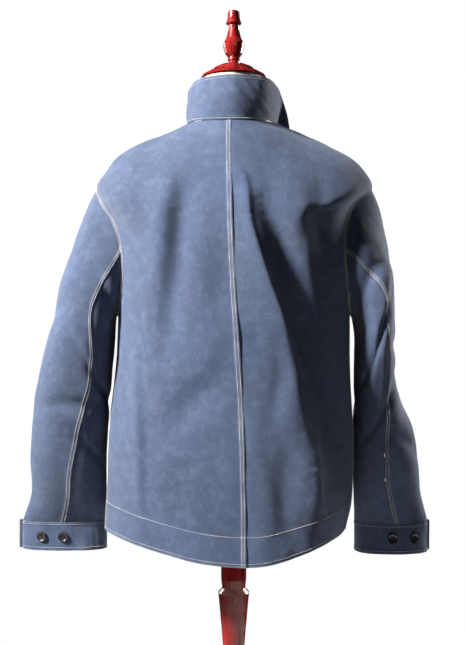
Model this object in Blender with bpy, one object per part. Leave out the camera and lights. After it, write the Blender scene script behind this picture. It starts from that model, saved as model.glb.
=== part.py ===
"""A twill work jacket that hangs on a limbless dress form with a turned stand.

The jacket faces -Y, its back faces +Y, and its own left is +X. The origin is on the floor, under the
middle of the stand's base. Every cloth piece is a wall worked out from the sections below, with its folds
added along the surface, so that pieces which meet at a seam share the seam's points.
"""

import math
from collections import namedtuple

import bmesh
import bpy
import numpy as np

WALL = 0.0020
COLLAR_WALL = 0.0030
CUFF_WALL = 0.0028
SEAM_GAP = 0.0003
SEAT_GAP = 0.0004
ARMHOLE_GAP = 0.0006
SLEEVE_SEAM_GAP = 0.0006
LEFT, RIGHT = 1, -1
BACK, FRONT = 1, -1

BACK_COLUMNS = 14
FRONT_COLUMNS = 9
SHOULDER_ROWS = 7
ARMHOLE_ROWS = 11
SIDE_ROWS = 14
SHOULDER_END, UNDERARM = 0.25, 0.54
ARMHOLE_HALF_DEPTH = 0.057
ARMHOLE_ROUND = 0.62
FRONT_LAP = 0.11
SLEEVE_RINGS = 21
SEAM_STEP = 5

# One row for each section of the body, from the neck seam at t 0 to the hem at t 1. left and right are
# its half widths, edge_y is how far back the panels' outer edge lies before the armhole is cut,
# back and front the depths at the middle, and centre is where the centre-back seam runs.
Section = namedtuple("Section", "t left right edge_y edge_z back back_z front front_z centre")
BODY = (
    Section(0.00, 0.0745, 0.0655, 0.000, 1.4400, 0.0850, 1.4320, -0.0880, 1.385, 0.0057),
    Section(0.05, 0.0985, 0.0950, 0.000, 1.4300, 0.0980, 1.4080, -0.1000, 1.355, 0.0056),
    Section(0.10, 0.1270, 0.1190, 0.000, 1.4180, 0.1090, 1.3800, -0.1070, 1.326, 0.0055),
    Section(0.15, 0.1630, 0.1520, 0.000, 1.4035, 0.1170, 1.3520, -0.1120, 1.300, 0.0052),
    Section(0.19, 0.1860, 0.1815, 0.000, 1.3870, 0.1225, 1.3280, -0.1155, 1.280, 0.0048),
    Section(0.22, 0.1985, 0.1985, 0.000, 1.3690, 0.1255, 1.3090, -0.1175, 1.264, 0.0044),
    Section(0.25, 0.2135, 0.2115, 0.000, 1.3450, 0.1280, 1.2900, -0.1190, 1.247, 0.0040),
    Section(0.30, 0.2095, 0.1900, 0.002, 1.3180, 0.1310, 1.2620, -0.1210, 1.222, 0.0030),
    Section(0.35, 0.1955, 0.1800, 0.003, 1.2860, 0.1335, 1.2330, -0.1225, 1.195, 0.0018),
    Section(0.40, 0.1865, 0.1785, 0.005, 1.2500, 0.1350, 1.2040, -0.1240, 1.170, 0.0004),
    Section(0.45, 0.1820, 0.1785, 0.007, 1.2100, 0.1355, 1.1740, -0.1245, 1.145, -0.0012),
    Section(0.49, 0.1800, 0.1775, 0.008, 1.1760, 0.1355, 1.1480, -0.1245, 1.124, -0.0030),
    Section(0.52, 0.1795, 0.1770, 0.009, 1.1550, 0.1350, 1.1280, -0.1245, 1.107, -0.0044),
    Section(0.54, 0.1795, 0.1765, 0.010, 1.1470, 0.1345, 1.1140, -0.1245, 1.095, -0.0055),
    Section(0.60, 0.1815, 0.1765, 0.012, 1.0900, 0.1330, 1.0660, -0.1240, 1.058, -0.0085),
    Section(0.66, 0.1855, 0.1775, 0.014, 1.0450, 0.1320, 1.0240, -0.1235, 1.018, -0.0110),
    Section(0.74, 0.1920, 0.1805, 0.016, 0.9880, 0.1320, 0.9680, -0.1230, 0.966, -0.0130),
    Section(0.82, 0.1955, 0.1820, 0.018, 0.9300, 0.1330, 0.9080, -0.1230, 0.916, -0.0145),
    Section(0.91, 0.1970, 0.1800, 0.020, 0.8720, 0.1345, 0.8460, -0.1235, 0.866, -0.0155),
    Section(1.00, 0.2000, 0.1690, 0.022, 0.8175, 0.1340, 0.7850, -0.1240, 0.815, -0.0157),
)

# One row for each section of a sleeve, from the armhole at t 0 to the cuff seam at t 1: its outer and
# its inner edge seen from behind, its middle's depth, half its own depth, and how far its seams turn.
Arm = namedtuple("Arm", "t outer outer_z inner inner_z middle half_depth turn")
SLEEVES = {
    LEFT: (
        Arm(0.00, 0.2140, 1.3450, 0.1800, 1.1470, 0.000, 0.060, 0),
        Arm(0.06, 0.2270, 1.3200, 0.1865, 1.1370, 0.000, 0.065, -3),
        Arm(0.13, 0.2400, 1.2850, 0.1885, 1.1220, -0.001, 0.070, -5),
        Arm(0.21, 0.2545, 1.2450, 0.1895, 1.1020, -0.003, 0.073, -10),
        Arm(0.30, 0.2700, 1.2000, 0.1905, 1.0780, -0.006, 0.073, -21),
        Arm(0.39, 0.2815, 1.1530, 0.1935, 1.0500, -0.009, 0.070, -30),
        Arm(0.48, 0.2945, 1.1080, 0.1965, 1.0220, -0.014, 0.066, -32),
        Arm(0.57, 0.3060, 1.0640, 0.1995, 0.9900, -0.019, 0.063, -28),
        Arm(0.66, 0.3155, 1.0150, 0.2020, 0.9540, -0.025, 0.060, -21),
        Arm(0.75, 0.3220, 0.9670, 0.2040, 0.9180, -0.031, 0.056, -16),
        Arm(0.84, 0.3255, 0.9170, 0.2050, 0.8850, -0.038, 0.050, -10),
        Arm(0.92, 0.3245, 0.8700, 0.2055, 0.8540, -0.044, 0.040, -6),
        Arm(1.00, 0.3400, 0.8180, 0.2065, 0.8180, -0.048, 0.023, -3),
    ),
    RIGHT: (
        Arm(0.00, 0.2120, 1.3450, 0.1775, 1.1470, 0.000, 0.060, 0),
        Arm(0.06, 0.2230, 1.3200, 0.1835, 1.1370, 0.000, 0.067, 2),
        Arm(0.13, 0.2320, 1.2850, 0.1870, 1.1220, -0.001, 0.075, 5),
        Arm(0.21, 0.2415, 1.2430, 0.1888, 1.1020, -0.002, 0.081, 10),
        Arm(0.30, 0.2455, 1.1980, 0.1880, 1.0780, -0.004, 0.084, 15),
        Arm(0.39, 0.2465, 1.1500, 0.1880, 1.0500, -0.007, 0.085, 19),
        Arm(0.48, 0.2480, 1.1050, 0.1880, 1.0240, -0.011, 0.083, 21),
        Arm(0.57, 0.2500, 1.0620, 0.1880, 0.9930, -0.017, 0.079, 17),
        Arm(0.66, 0.2615, 1.0120, 0.1880, 0.9580, -0.023, 0.074, 4),
        Arm(0.75, 0.2800, 0.9680, 0.1880, 0.9250, -0.028, 0.067, -7),
        Arm(0.84, 0.2905, 0.9150, 0.1885, 0.8870, -0.034, 0.058, -9),
        Arm(0.92, 0.2955, 0.8680, 0.1890, 0.8540, -0.039, 0.047, -4),
        Arm(1.00, 0.3080, 0.8180, 0.1915, 0.8180, -0.042, 0.034, 0),
    ),
}

# A fold lies along a smooth curve through its start, middle and end, seen from behind or from the front.
# width is half its breadth, height is its rise, below nought for a trough, and steep narrows its far side.
Fold = namedtuple("Fold", "start_x start_z mid_x mid_z end_x end_z width height steep")
BACK_FOLDS = (
    Fold(-0.010, 1.345, -0.058, 1.160, -0.116, 0.880, 0.030, 0.0085, 1.7),
    Fold(-0.030, 1.335, -0.092, 1.165, -0.150, 0.900, 0.026, -0.0110, 1.0),
    Fold(0.092, 1.365, 0.104, 1.250, 0.122, 1.060, 0.024, 0.0070, 1.5),
    Fold(0.072, 1.350, 0.084, 1.250, 0.106, 1.080, 0.020, -0.0070, 1.0),
    Fold(0.010, 1.070, 0.070, 1.010, 0.125, 0.950, 0.026, -0.0055, 1.0),
    Fold(-0.124, 1.310, -0.130, 1.230, -0.140, 1.130, 0.016, -0.0050, 1.0),
    Fold(-0.036, 1.110, -0.066, 1.070, -0.052, 1.000, 0.014, -0.0040, 1.0),
    Fold(0.150, 1.080, 0.142, 0.980, 0.136, 0.830, 0.013, 0.0045, 1.6),
    Fold(-0.070, 0.960, -0.076, 0.880, -0.080, 0.800, 0.022, -0.0040, 1.0),
)
FRONT_FOLDS = (
    Fold(0.150, 1.280, 0.100, 1.160, 0.085, 0.960, 0.026, 0.0060, 1.5),
    Fold(0.130, 1.260, 0.075, 1.130, 0.064, 0.940, 0.022, -0.0065, 1.0),
    Fold(-0.150, 1.270, -0.098, 1.140, -0.100, 0.940, 0.026, 0.0060, 1.5),
    Fold(-0.130, 1.260, -0.073, 1.110, -0.078, 0.920, 0.022, -0.0065, 1.0),
    Fold(0.165, 1.020, 0.130, 0.960, 0.122, 0.850, 0.022, -0.0050, 1.0),
    Fold(-0.160, 1.010, -0.128, 0.950, -0.126, 0.850, 0.022, -0.0050, 1.0),
)

# A sleeve's fold is centred at along and round, both in its own measure, and slants by tilt.
Crease = namedtuple("Crease", "along round tilt length breadth height")
SLEEVE_CREASES = {
    LEFT: (
        Crease(0.14, 95, 0.0010, 0.030, 50, -0.0060),
        Crease(0.33, 150, 0.0016, 0.040, 60, -0.0050),
        Crease(0.47, 60, -0.0012, 0.030, 55, -0.0055),
        Crease(0.60, 110, 0.0014, 0.028, 50, -0.0045),
        Crease(0.72, 70, -0.0012, 0.026, 45, -0.0045),
        Crease(0.52, 290, 0.0012, 0.030, 55, -0.0060),
    ),
    RIGHT: (
        Crease(0.16, 100, 0.0012, 0.030, 50, -0.0060),
        Crease(0.36, 70, -0.0014, 0.036, 60, -0.0060),
        Crease(0.53, 165, 0.0013, 0.030, 55, -0.0055),
        Crease(0.62, 95, -0.0012, 0.026, 50, -0.0050),
        Crease(0.76, 130, 0.0014, 0.026, 45, -0.0045),
        Crease(0.50, 290, 0.0012, 0.030, 55, -0.0060),
    ),
}

# The collar's upper edge, from its right end at u -1, over the centre back at 0, to its left end at 1.
Edge = namedtuple("Edge", "t x y z")
COLLAR_EDGE = (
    Edge(-1.00, -0.0900, -0.0560, 1.4350),
    Edge(-0.82, -0.0850, -0.0400, 1.4600),
    Edge(-0.66, -0.0745, -0.0200, 1.4880),
    Edge(-0.50, -0.0655, 0.0060, 1.5000),
    Edge(-0.25, -0.0480, 0.0550, 1.5015),
    Edge(0.00, 0.0020, 0.0780, 1.5015),
    Edge(0.25, 0.0505, 0.0550, 1.5015),
    Edge(0.50, 0.0690, 0.0060, 1.5000),
    Edge(0.66, 0.0745, -0.0220, 1.4920),
    Edge(0.82, 0.0755, -0.0480, 1.4740),
    Edge(1.00, 0.0660, -0.0760, 1.4500),
)
COLLAR_ROWS = 4
COLLAR_BOW = 0.004

# A cuff is a strip that goes once round, with both ends at its outer side and a tab that stands out.
Cuff = namedtuple("Cuff", "outer inner middle half_depth top bottom tab buttons")
CUFFS = {
    LEFT: Cuff(0.3400, 0.2065, -0.048, 0.023, 0.8175, 0.7720, 0.0075, (0.3065, 0.2725)),
    RIGHT: Cuff(0.3080, 0.1915, -0.042, 0.034, 0.8175, 0.7700, 0.0050, (0.2810, 0.2475)),
}
CUFF_STEPS = 24
CUFF_BUTTON_Z = 0.7945
CUFF_ROWS = 2
CUFF_GAP_TURN = math.radians(7)

BUTTON_RADIUS = 0.0082
BUTTON_THICK = 0.0030
BUTTON_SIDES = 14
BUTTON_SEAT = 0.0004
FRONT_BUTTON_SEAT = 0.0010
FRONT_BUTTONS = (0.10, 0.26, 0.42, 0.58, 0.74, 0.90)

# The form below the jacket's shoulders, in the body's own columns.
FORM = (
    Section(0.00, 0.1780, 0.1750, 0.000, 1.3700, 0.1085, 1.3080, -0.1040, 1.262, 0.0),
    Section(0.10, 0.1720, 0.1690, 0.000, 1.3250, 0.1070, 1.2700, -0.1050, 1.225, 0.0),
    Section(0.25, 0.1550, 0.1530, 0.000, 1.2500, 0.1050, 1.2150, -0.1040, 1.180, 0.0),
    Section(0.40, 0.1450, 0.1440, 0.000, 1.1600, 0.1030, 1.1500, -0.1010, 1.135, 0.0),
    Section(0.60, 0.1300, 0.1290, 0.000, 1.0500, 0.0960, 1.0500, -0.0950, 1.045, 0.0),
    Section(0.80, 0.1420, 0.1400, 0.000, 0.9400, 0.1020, 0.9400, -0.0950, 0.940, 0.0),
    Section(0.92, 0.1500, 0.1480, 0.000, 0.8600, 0.1040, 0.8600, -0.0960, 0.860, 0.0),
    Section(1.00, 0.1480, 0.1460, 0.000, 0.8200, 0.1020, 0.8200, -0.0950, 0.820, 0.0),
)
FORM_COLUMNS = 8
FORM_ROWS = 10
FORM_SHOULDERS = (0.055, 0.085, 0.115, 0.145)
FORM_CLEARANCE = WALL + 0.0012
Neck = namedtuple("Neck", "half_width half_depth side_z back_z front_z")
FORM_NECK = (
    Neck(0.0480, 0.0480, 1.5126, 1.5126, 1.5126),
    Neck(0.0480, 0.0480, 1.4700, 1.4700, 1.4600),
    Neck(0.0510, 0.0510, 1.4470, 1.4430, 1.4150),
    Neck(0.0600, 0.0620, 1.4310, 1.4240, 1.3850),
)

AXIS_X = 0.0020
TURNED_SIDES = 20
CAP_PROFILE = (
    (0.0490, 1.5130),
    (0.0512, 1.5150),
    (0.0490, 1.5185),
    (0.0400, 1.5235),
    (0.0330, 1.5262),
    (0.0310, 1.5300),
    (0.0200, 1.5350),
    (0.0097, 1.5365),
)
FINIAL_PROFILE = (
    (0.0097, 1.5368),
    (0.0097, 1.5395),
    (0.0080, 1.5410),
    (0.0097, 1.5430),
    (0.0088, 1.5465),
    (0.0135, 1.5530),
    (0.0162, 1.5620),
    (0.0169, 1.5685),
    (0.0118, 1.5770),
    (0.0085, 1.5900),
    (0.0085, 1.5970),
    (0.0122, 1.6000),
    (0.0095, 1.6090),
    (0.0092, 1.6176),
    (0.0070, 1.6196),
)
POLE_PROFILE = (
    (0.0170, 0.0603),
    (0.0168, 0.6300),
    (0.0187, 0.6550),
    (0.0202, 0.6700),
    (0.0215, 0.6860),
    (0.0242, 0.7140),
    (0.0180, 0.7210),
    (0.0197, 0.7350),
    (0.0197, 0.8197),
)
BASE_PROFILE = (
    (0.1750, 0.0000),
    (0.1750, 0.0120),
    (0.1680, 0.0210),
    (0.1400, 0.0250),
    (0.0600, 0.0300),
    (0.0380, 0.0380),
    (0.0320, 0.0540),
    (0.0260, 0.0600),
)
BASE_SIDES = 32


def smooth(value):
    """An even step from 0 to 1 as the value goes from 0 to 1."""
    held = np.clip(value, 0.0, 1.0)
    return held * held * (3.0 - 2.0 * held)


def along(table, column, t):
    """One column of a table at t, on a smooth curve through its rows."""
    at = np.array([row.t for row in table])
    value = np.array([getattr(row, column) for row in table])
    rise = np.diff(value) / np.diff(at)
    before, after = rise[:-1], rise[1:]
    level = before * after <= 0.0
    inner = np.where(level, 0.0, 2.0 * before * after / np.where(level, 1.0, before + after))
    slope = np.concatenate([rise[:1], inner, rise[-1:]])
    first = np.clip(np.searchsorted(at, t, side="right") - 1, 0, len(at) - 2)
    step = at[first + 1] - at[first]
    share = (t - at[first]) / step
    rest = 1.0 - share
    start = (1.0 + 2.0 * share) * rest**2 * value[first] + share * rest**2 * step * slope[first]
    end = share**2 * (3.0 - 2.0 * share) * value[first + 1] - share**2 * rest * step * slope[first + 1]
    return start + end


def signed_power(value, power):
    """The value's size raised to a power, with its sign kept."""
    return np.sign(value) * np.abs(value) ** power


def body_points(table, side, face, t, share):
    """Points of one panel's smooth surface: t runs down it, share from the middle to its outer edge."""
    wide_x = side * along(table, "left" if side == LEFT else "right", t)
    edge_y = along(table, "edge_y", t)
    if table is BODY:
        down = np.clip((t - SHOULDER_END) / (UNDERARM - SHOULDER_END), 0.0, 1.0)
        edge_y = edge_y + face * ARMHOLE_HALF_DEPTH * np.sin(math.pi * down) ** ARMHOLE_ROUND
    edge_z = along(table, "edge_z", t)
    depth = along(table, "back" if face == BACK else "front", t)
    middle_z = along(table, "back_z" if face == BACK else "front_z", t)
    middle_x = along(table, "centre", t) if face == BACK else 0.0 * t
    flat = 1.0 - 0.17 * smooth(t / 0.3)
    fall = 2.0 + 1.4 * smooth((t - 0.45) / 0.5)
    edge_turn = np.arccos(signed_power(edge_y / depth, 1.0 / flat))
    turn = share * edge_turn
    x = middle_x + (wide_x - middle_x) * np.sin(turn)
    y = depth * signed_power(np.cos(turn), flat)
    low = np.abs(np.cos(edge_turn)) ** fall
    z = edge_z + (middle_z - edge_z) * (np.abs(np.cos(turn)) ** fall - low) / (1.0 - low)
    return np.stack([x, y, z], axis=-1)


def fold_rise(folds, points):
    """How far the folds lift or sink each point, worked out from where it lies seen along Y."""
    rise = np.zeros(points.shape[:-1])
    steps = np.linspace(0.0, 1.0, 25)
    for fold in folds:
        bend_x = 2.0 * fold.mid_x - 0.5 * (fold.start_x + fold.end_x)
        bend_z = 2.0 * fold.mid_z - 0.5 * (fold.start_z + fold.end_z)
        path_x = (1 - steps) ** 2 * fold.start_x + 2 * steps * (1 - steps) * bend_x + steps**2 * fold.end_x
        path_z = (1 - steps) ** 2 * fold.start_z + 2 * steps * (1 - steps) * bend_z + steps**2 * fold.end_z
        off_x = points[..., 0, None] - path_x
        off_z = points[..., 2, None] - path_z
        apart = np.hypot(off_x, off_z)
        nearest = apart.argmin(axis=-1)
        run_x, run_z = np.gradient(path_x)[nearest], np.gradient(path_z)[nearest]
        here = nearest[..., None]
        near_x = np.take_along_axis(off_x, here, -1)[..., 0]
        near_z = np.take_along_axis(off_z, here, -1)[..., 0]
        across = near_x * run_z - near_z * run_x
        distance = apart.min(axis=-1)
        width = np.where(across > 0.0, fold.width / fold.steep, fold.width)
        fade = np.sin(math.pi * np.clip(steps[nearest], 0.04, 0.96)) ** 0.6
        rise += fold.height * fade * np.exp(-((distance / width) ** 2))
    return rise


def normals_of(grid, outward_from):
    """The unit normals of a grid of points, pointing away from the given centre line."""
    down = np.gradient(grid, axis=0)
    over = np.gradient(grid, axis=1)
    normal = np.cross(over, down)
    normal /= np.maximum(np.linalg.norm(normal, axis=-1, keepdims=True), 1e-12)
    if (normal * (grid - outward_from)).sum() < 0:
        normal = -normal
    return normal


def unit(vector):
    """The vectors at length one."""
    return vector / np.maximum(np.linalg.norm(vector, axis=-1, keepdims=True), 1e-12)


def share_normals(first, first_at, second, second_at):
    """Give two edges that meet at a seam the same normals, so that their walls end in one plane."""
    both = unit(first[first_at] + second[second_at])
    first[first_at] = both
    second[second_at] = both


def body_rows():
    """Where the panels' rows lie, with the armhole's own rows between the shoulder and the underarm."""
    shoulder = np.linspace(0.0, SHOULDER_END, SHOULDER_ROWS + 1)
    turn = np.linspace(0.0, math.pi, ARMHOLE_ROWS + 1)
    armhole = SHOULDER_END + (UNDERARM - SHOULDER_END) * (1 - np.cos(turn)) / 2
    armhole = 0.45 * armhole + 0.55 * np.linspace(SHOULDER_END, UNDERARM, ARMHOLE_ROWS + 1)
    side = np.linspace(UNDERARM, 1.0, SIDE_ROWS + 1)
    return np.concatenate([shoulder, armhole[1:], side[1:]])


def settle(t):
    """How much of a fold shows at this height: none at the neck seam, all below the shoulders."""
    return smooth((t - 0.10) / 0.14)


def panels():
    """Each body panel's outer points and normals, by side and face."""
    rows = body_rows()
    grids, normals = {}, {}
    for side in (LEFT, RIGHT):
        for face in (BACK, FRONT):
            columns = BACK_COLUMNS if face == BACK else FRONT_COLUMNS
            first = 0.0 if face == BACK else -FRONT_LAP
            shares = np.linspace(0.0, 1.0, columns + 1)
            shares[0] = first
            t, share = np.meshgrid(rows, shares, indexing="ij")
            grid = body_points(BODY, side, face, t, share)
            normal = normals_of(grid, np.array([0.0, 0.0, 1.1]))
            rise = fold_rise(BACK_FOLDS if face == BACK else FRONT_FOLDS, grid) * settle(t)
            rise *= smooth((1.02 - share) / 0.12)
            if face == FRONT:
                rise *= smooth((share - 0.12) / 0.2)
                if side == LEFT:
                    rise += (WALL + SEAT_GAP + 0.0003) * smooth((0.30 - share) / 0.14)
            grids[side, face] = grid + normal * rise[..., None]
    for side in (LEFT, RIGHT):
        for face in (BACK, FRONT):
            normals[side, face] = normals_of(grids[side, face], np.array([0.0, 0.0, 1.1]))
    share_normals(normals[LEFT, BACK], np.s_[:, 0], normals[RIGHT, BACK], np.s_[:, 0])
    armhole_end = SHOULDER_ROWS + ARMHOLE_ROWS
    for side in (LEFT, RIGHT):
        for run in (np.s_[: SHOULDER_ROWS + 1], np.s_[armhole_end:]):
            share_normals(normals[side, BACK], (run, -1), normals[side, FRONT], (run, -1))
    return grids, normals


def trim(grid, sides, gap=SEAM_GAP / 2):
    """Draw the named edges of a grid in by half a seam gap."""
    grid = grid.copy()
    if "first_row" in sides:
        grid[0] += gap * unit(grid[1] - grid[0])
    if "last_row" in sides:
        grid[-1] += gap * unit(grid[-2] - grid[-1])
    if "first_column" in sides:
        grid[:, 0] += gap * unit(grid[:, 1] - grid[:, 0])
    if "last_column" in sides:
        grid[:, -1] += gap * unit(grid[:, -2] - grid[:, -1])
    return grid


def material(name, colour, roughness, metallic=0.0):
    """A plain finish of one colour."""
    made = bpy.data.materials.new(name)
    made.use_nodes = True
    shader = made.node_tree.nodes["Principled BSDF"]
    shader.inputs["Base Color"].default_value = (*colour, 1.0)
    shader.inputs["Roughness"].default_value = roughness
    shader.inputs["Metallic"].default_value = metallic
    return made


def add_object(name, mesh, finish):
    """Put a mesh into the scene under its name, shaded smooth over its soft edges."""
    mesh.materials.append(finish)
    mesh.shade_smooth()
    mesh.set_sharp_from_angle(angle=math.radians(40))
    made = bpy.data.objects.new(name, mesh)
    bpy.context.scene.collection.objects.link(made)
    return made


def wall(name, outer, inner, finish):
    """A closed wall between two grids of points that match."""
    rows, columns = outer.shape[:2]
    points = np.concatenate([outer.reshape(-1, 3), inner.reshape(-1, 3)])
    count = rows * columns
    index = np.arange(count).reshape(rows, columns)
    faces = []
    for i in range(rows - 1):
        for j in range(columns - 1):
            ring = (index[i, j], index[i, j + 1], index[i + 1, j + 1], index[i + 1, j])
            faces.append(ring)
            faces.append(tuple(corner + count for corner in reversed(ring)))
    border = list(index[0]) + list(index[1:, -1]) + list(index[-1, -2::-1]) + list(index[-2:0:-1, 0])
    for here, after in zip(border, border[1:] + border[:1]):
        faces.append((after, here, here + count, after + count))
    mesh = bpy.data.meshes.new(name)
    mesh.from_pydata(points.tolist(), [], [tuple(int(corner) for corner in face) for face in faces])
    shape = bmesh.new()
    shape.from_mesh(mesh)
    bmesh.ops.recalc_face_normals(shape, faces=shape.faces)
    shape.to_mesh(mesh)
    shape.free()
    return add_object(name, mesh, finish)


def turned(name, profile, finish, sides=TURNED_SIDES):
    """A solid turned about the stand's axis from its profile, bottom to top, with flat ends."""
    shape = bmesh.new()
    rings = []
    for radius, z in profile:
        ring = []
        for step in range(sides):
            turn = 2 * math.pi * step / sides
            ring.append(shape.verts.new((AXIS_X + radius * math.cos(turn), radius * math.sin(turn), z)))
        rings.append(ring)
    for low, high in zip(rings, rings[1:]):
        for step in range(sides):
            after = (step + 1) % sides
            shape.faces.new((low[step], low[after], high[after], high[step]))
    shape.faces.new(list(reversed(rings[0])))
    shape.faces.new(rings[-1])
    mesh = bpy.data.meshes.new(name)
    shape.to_mesh(mesh)
    shape.free()
    return add_object(name, mesh, finish)


def make_body(grids, normals, cloth):
    """The two backs and the two fronts."""
    names = {(LEFT, BACK): "back_left", (RIGHT, BACK): "back_right"}
    names |= {(LEFT, FRONT): "front_left", (RIGHT, FRONT): "front_right"}
    for key, name in names.items():
        edges = ["first_row", "last_column"] + (["first_column"] if key[1] == BACK else [])
        outer = trim(grids[key], edges)
        wall(name, outer, outer - WALL * normals[key], cloth)


def armhole_loop(grids, normals, side):
    """The armhole's points from the underarm up the back and down the front, with its outward run."""
    rows = slice(SHOULDER_ROWS, SHOULDER_ROWS + ARMHOLE_ROWS + 1)
    back, front = grids[side, BACK][rows, -1][::-1], grids[side, FRONT][rows, -1]
    loop = np.concatenate([back, front[1:-1]])
    body_normal = np.concatenate([normals[side, BACK][rows, -1][::-1], normals[side, FRONT][rows, -1][1:-1]])
    edge_run = np.roll(loop, -1, axis=0) - np.roll(loop, 1, axis=0)
    square_out = unit(np.cross(body_normal, edge_run))
    square_out *= np.sign((square_out * (loop.mean(axis=0) - loop)).sum(axis=-1, keepdims=True))
    return loop, square_out


def ring_turns():
    """Each ring point's turn round the sleeve, from the inside over the back, with a seam at 90 and 270."""
    count = 2 * ARMHOLE_ROWS
    marks = (0, SEAM_STEP, count - SEAM_STEP, count)
    return np.radians(np.interp(np.arange(count), marks, (0, 90, 270, 360)))


def sleeve_points(side, loop, t):
    """A sleeve's rings of outer points at each t, which start at the armhole's own points."""
    table = SLEEVES[side]
    turns = ring_turns()

    def ring(t, turned_by):
        outer = np.array([side * along(table, "outer", t), 0.0, along(table, "outer_z", t)])
        inner = np.array([side * along(table, "inner", t), 0.0, along(table, "inner_z", t)])
        middle = (outer + inner) / 2 + np.array([0.0, along(table, "middle", t), 0.0])
        turn = turns + math.radians(turned_by)
        plan = signed_power(np.cos(turn), 0.9)[:, None] * (inner - outer) / 2
        depth = along(table, "half_depth", t) * signed_power(np.sin(turn), 0.9)
        return middle + plan + depth[:, None] * np.array([0.0, 1.0, 0.0])

    start = loop - ring(0.0, 0.0)
    rings = np.stack([ring(at, along(table, "turn", at)) + start * (1 - smooth(at / 0.28)) for at in t])
    normal = normals_of(np.concatenate([rings, rings[:, :1]], axis=1), rings.mean(axis=1, keepdims=True))[:, :-1]
    degrees = np.degrees(turns)[None, :]
    rise = np.zeros(rings.shape[:2])
    for crease in SLEEVE_CREASES[side]:
        off = (degrees - crease.round + 180) % 360 - 180
        slant = t[:, None] - crease.along - crease.tilt * off
        rise += crease.height * np.exp(-((slant / crease.length) ** 2) - (off / crease.breadth) ** 2)
    rise *= smooth(t / 0.08)[:, None] * smooth((1 - t) / 0.10)[:, None]
    return rings + normal * rise[..., None]


def ring_normals(rings):
    """Outward normals of closed rings."""
    wrapped = np.concatenate([rings[:, -1:], rings, rings[:, :1]], axis=1)
    return normals_of(wrapped, rings.mean(axis=1, keepdims=True))[:, 1:-1]


def make_sleeve(side, name, grids, normals, cloth):
    """A sleeve of an upper and an under piece, sewn at the back and at the front."""
    loop, square_out = armhole_loop(grids, normals, side)
    t = np.linspace(0.0, 1.0, SLEEVE_RINGS + 1) ** 1.08
    rings = sleeve_points(side, loop + ARMHOLE_GAP * square_out, t)
    ring_normal = ring_normals(rings)
    over = (ring_normal[0] * square_out).sum(axis=-1, keepdims=True)
    ring_normal[0] = unit(ring_normal[0] - np.maximum(over, 0.0) * square_out)
    rings[-1] += SEAM_GAP * unit(rings[-2] - rings[-1])
    count = 2 * ARMHOLE_ROWS
    upper = np.arange(SEAM_STEP, count - SEAM_STEP + 1)
    under = np.arange(count - SEAM_STEP, count + SEAM_STEP + 1) % count
    for piece, columns in (("upper", upper), ("under", under)):
        outer = trim(rings[:, columns], ("first_column", "last_column"), SLEEVE_SEAM_GAP / 2)
        wall(f"{name}_{piece}", outer, outer - WALL * ring_normal[:, columns], cloth)


def cuff_path(cuff, side, steps):
    """Points round a cuff at mid height, from its tab over the front and the inside to its back end."""
    turns = np.linspace(-CUFF_GAP_TURN, -2 * math.pi + CUFF_GAP_TURN, steps)
    half = (cuff.outer - cuff.inner) / 2
    x = cuff.inner + half + half * signed_power(np.cos(turns), 0.9)
    y = cuff.middle + cuff.half_depth * signed_power(np.sin(turns), 0.9)
    path = np.stack([x, y], axis=-1)
    tip = path[0] + np.array([cuff.tab, 0.0008])
    path = np.concatenate([tip[None], path])
    return path * np.array([side, 1.0])


def make_cuff(side, name, cloth):
    """A cuff's strip."""
    cuff = CUFFS[side]
    path = cuff_path(cuff, side, CUFF_STEPS)
    heights = np.linspace(cuff.top, cuff.bottom, CUFF_ROWS + 1)
    grid = np.array([[(x, y, z) for x, y in path] for z in heights])
    middle = np.array([side * (cuff.outer + cuff.inner) / 2, cuff.middle, (cuff.top + cuff.bottom) / 2])
    normal = normals_of(grid, middle)
    wall(name, grid, grid - CUFF_WALL * normal, cloth)


def make_collar(grids, cloth):
    """The collar, turned up, from the neck seam's own points to its upper edge."""
    right_front = grids[RIGHT, FRONT][0, 1:]
    right_back = grids[RIGHT, BACK][0, -2::-1]
    left_back = grids[LEFT, BACK][0, 1:]
    left_front = grids[LEFT, FRONT][0, -2:0:-1]
    base = np.concatenate([right_front, right_back, left_back, left_front])
    half = len(base) // 2
    base = base + np.array([0.0, 0.0, SEAT_GAP + 0.0006])
    marks = np.concatenate([np.linspace(-1.0, 0.0, half + 1), np.linspace(0.0, 1.0, half + 1)[1:]])
    edge = np.stack([along(COLLAR_EDGE, column, marks) for column in ("x", "y", "z")], axis=-1)
    rows = np.linspace(0.0, 1.0, COLLAR_ROWS + 1)
    out = unit((base + edge) * np.array([0.5, 0.5, 0.0]))
    grid = np.stack(
        [base * (1 - row) + edge * row + COLLAR_BOW * math.sin(math.pi * row) * out for row in rows]
    )
    normal = normals_of(grid, np.array([0.0, 0.0, 1.45]))
    wall("collar", grid, grid - COLLAR_WALL * normal, cloth)


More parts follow.
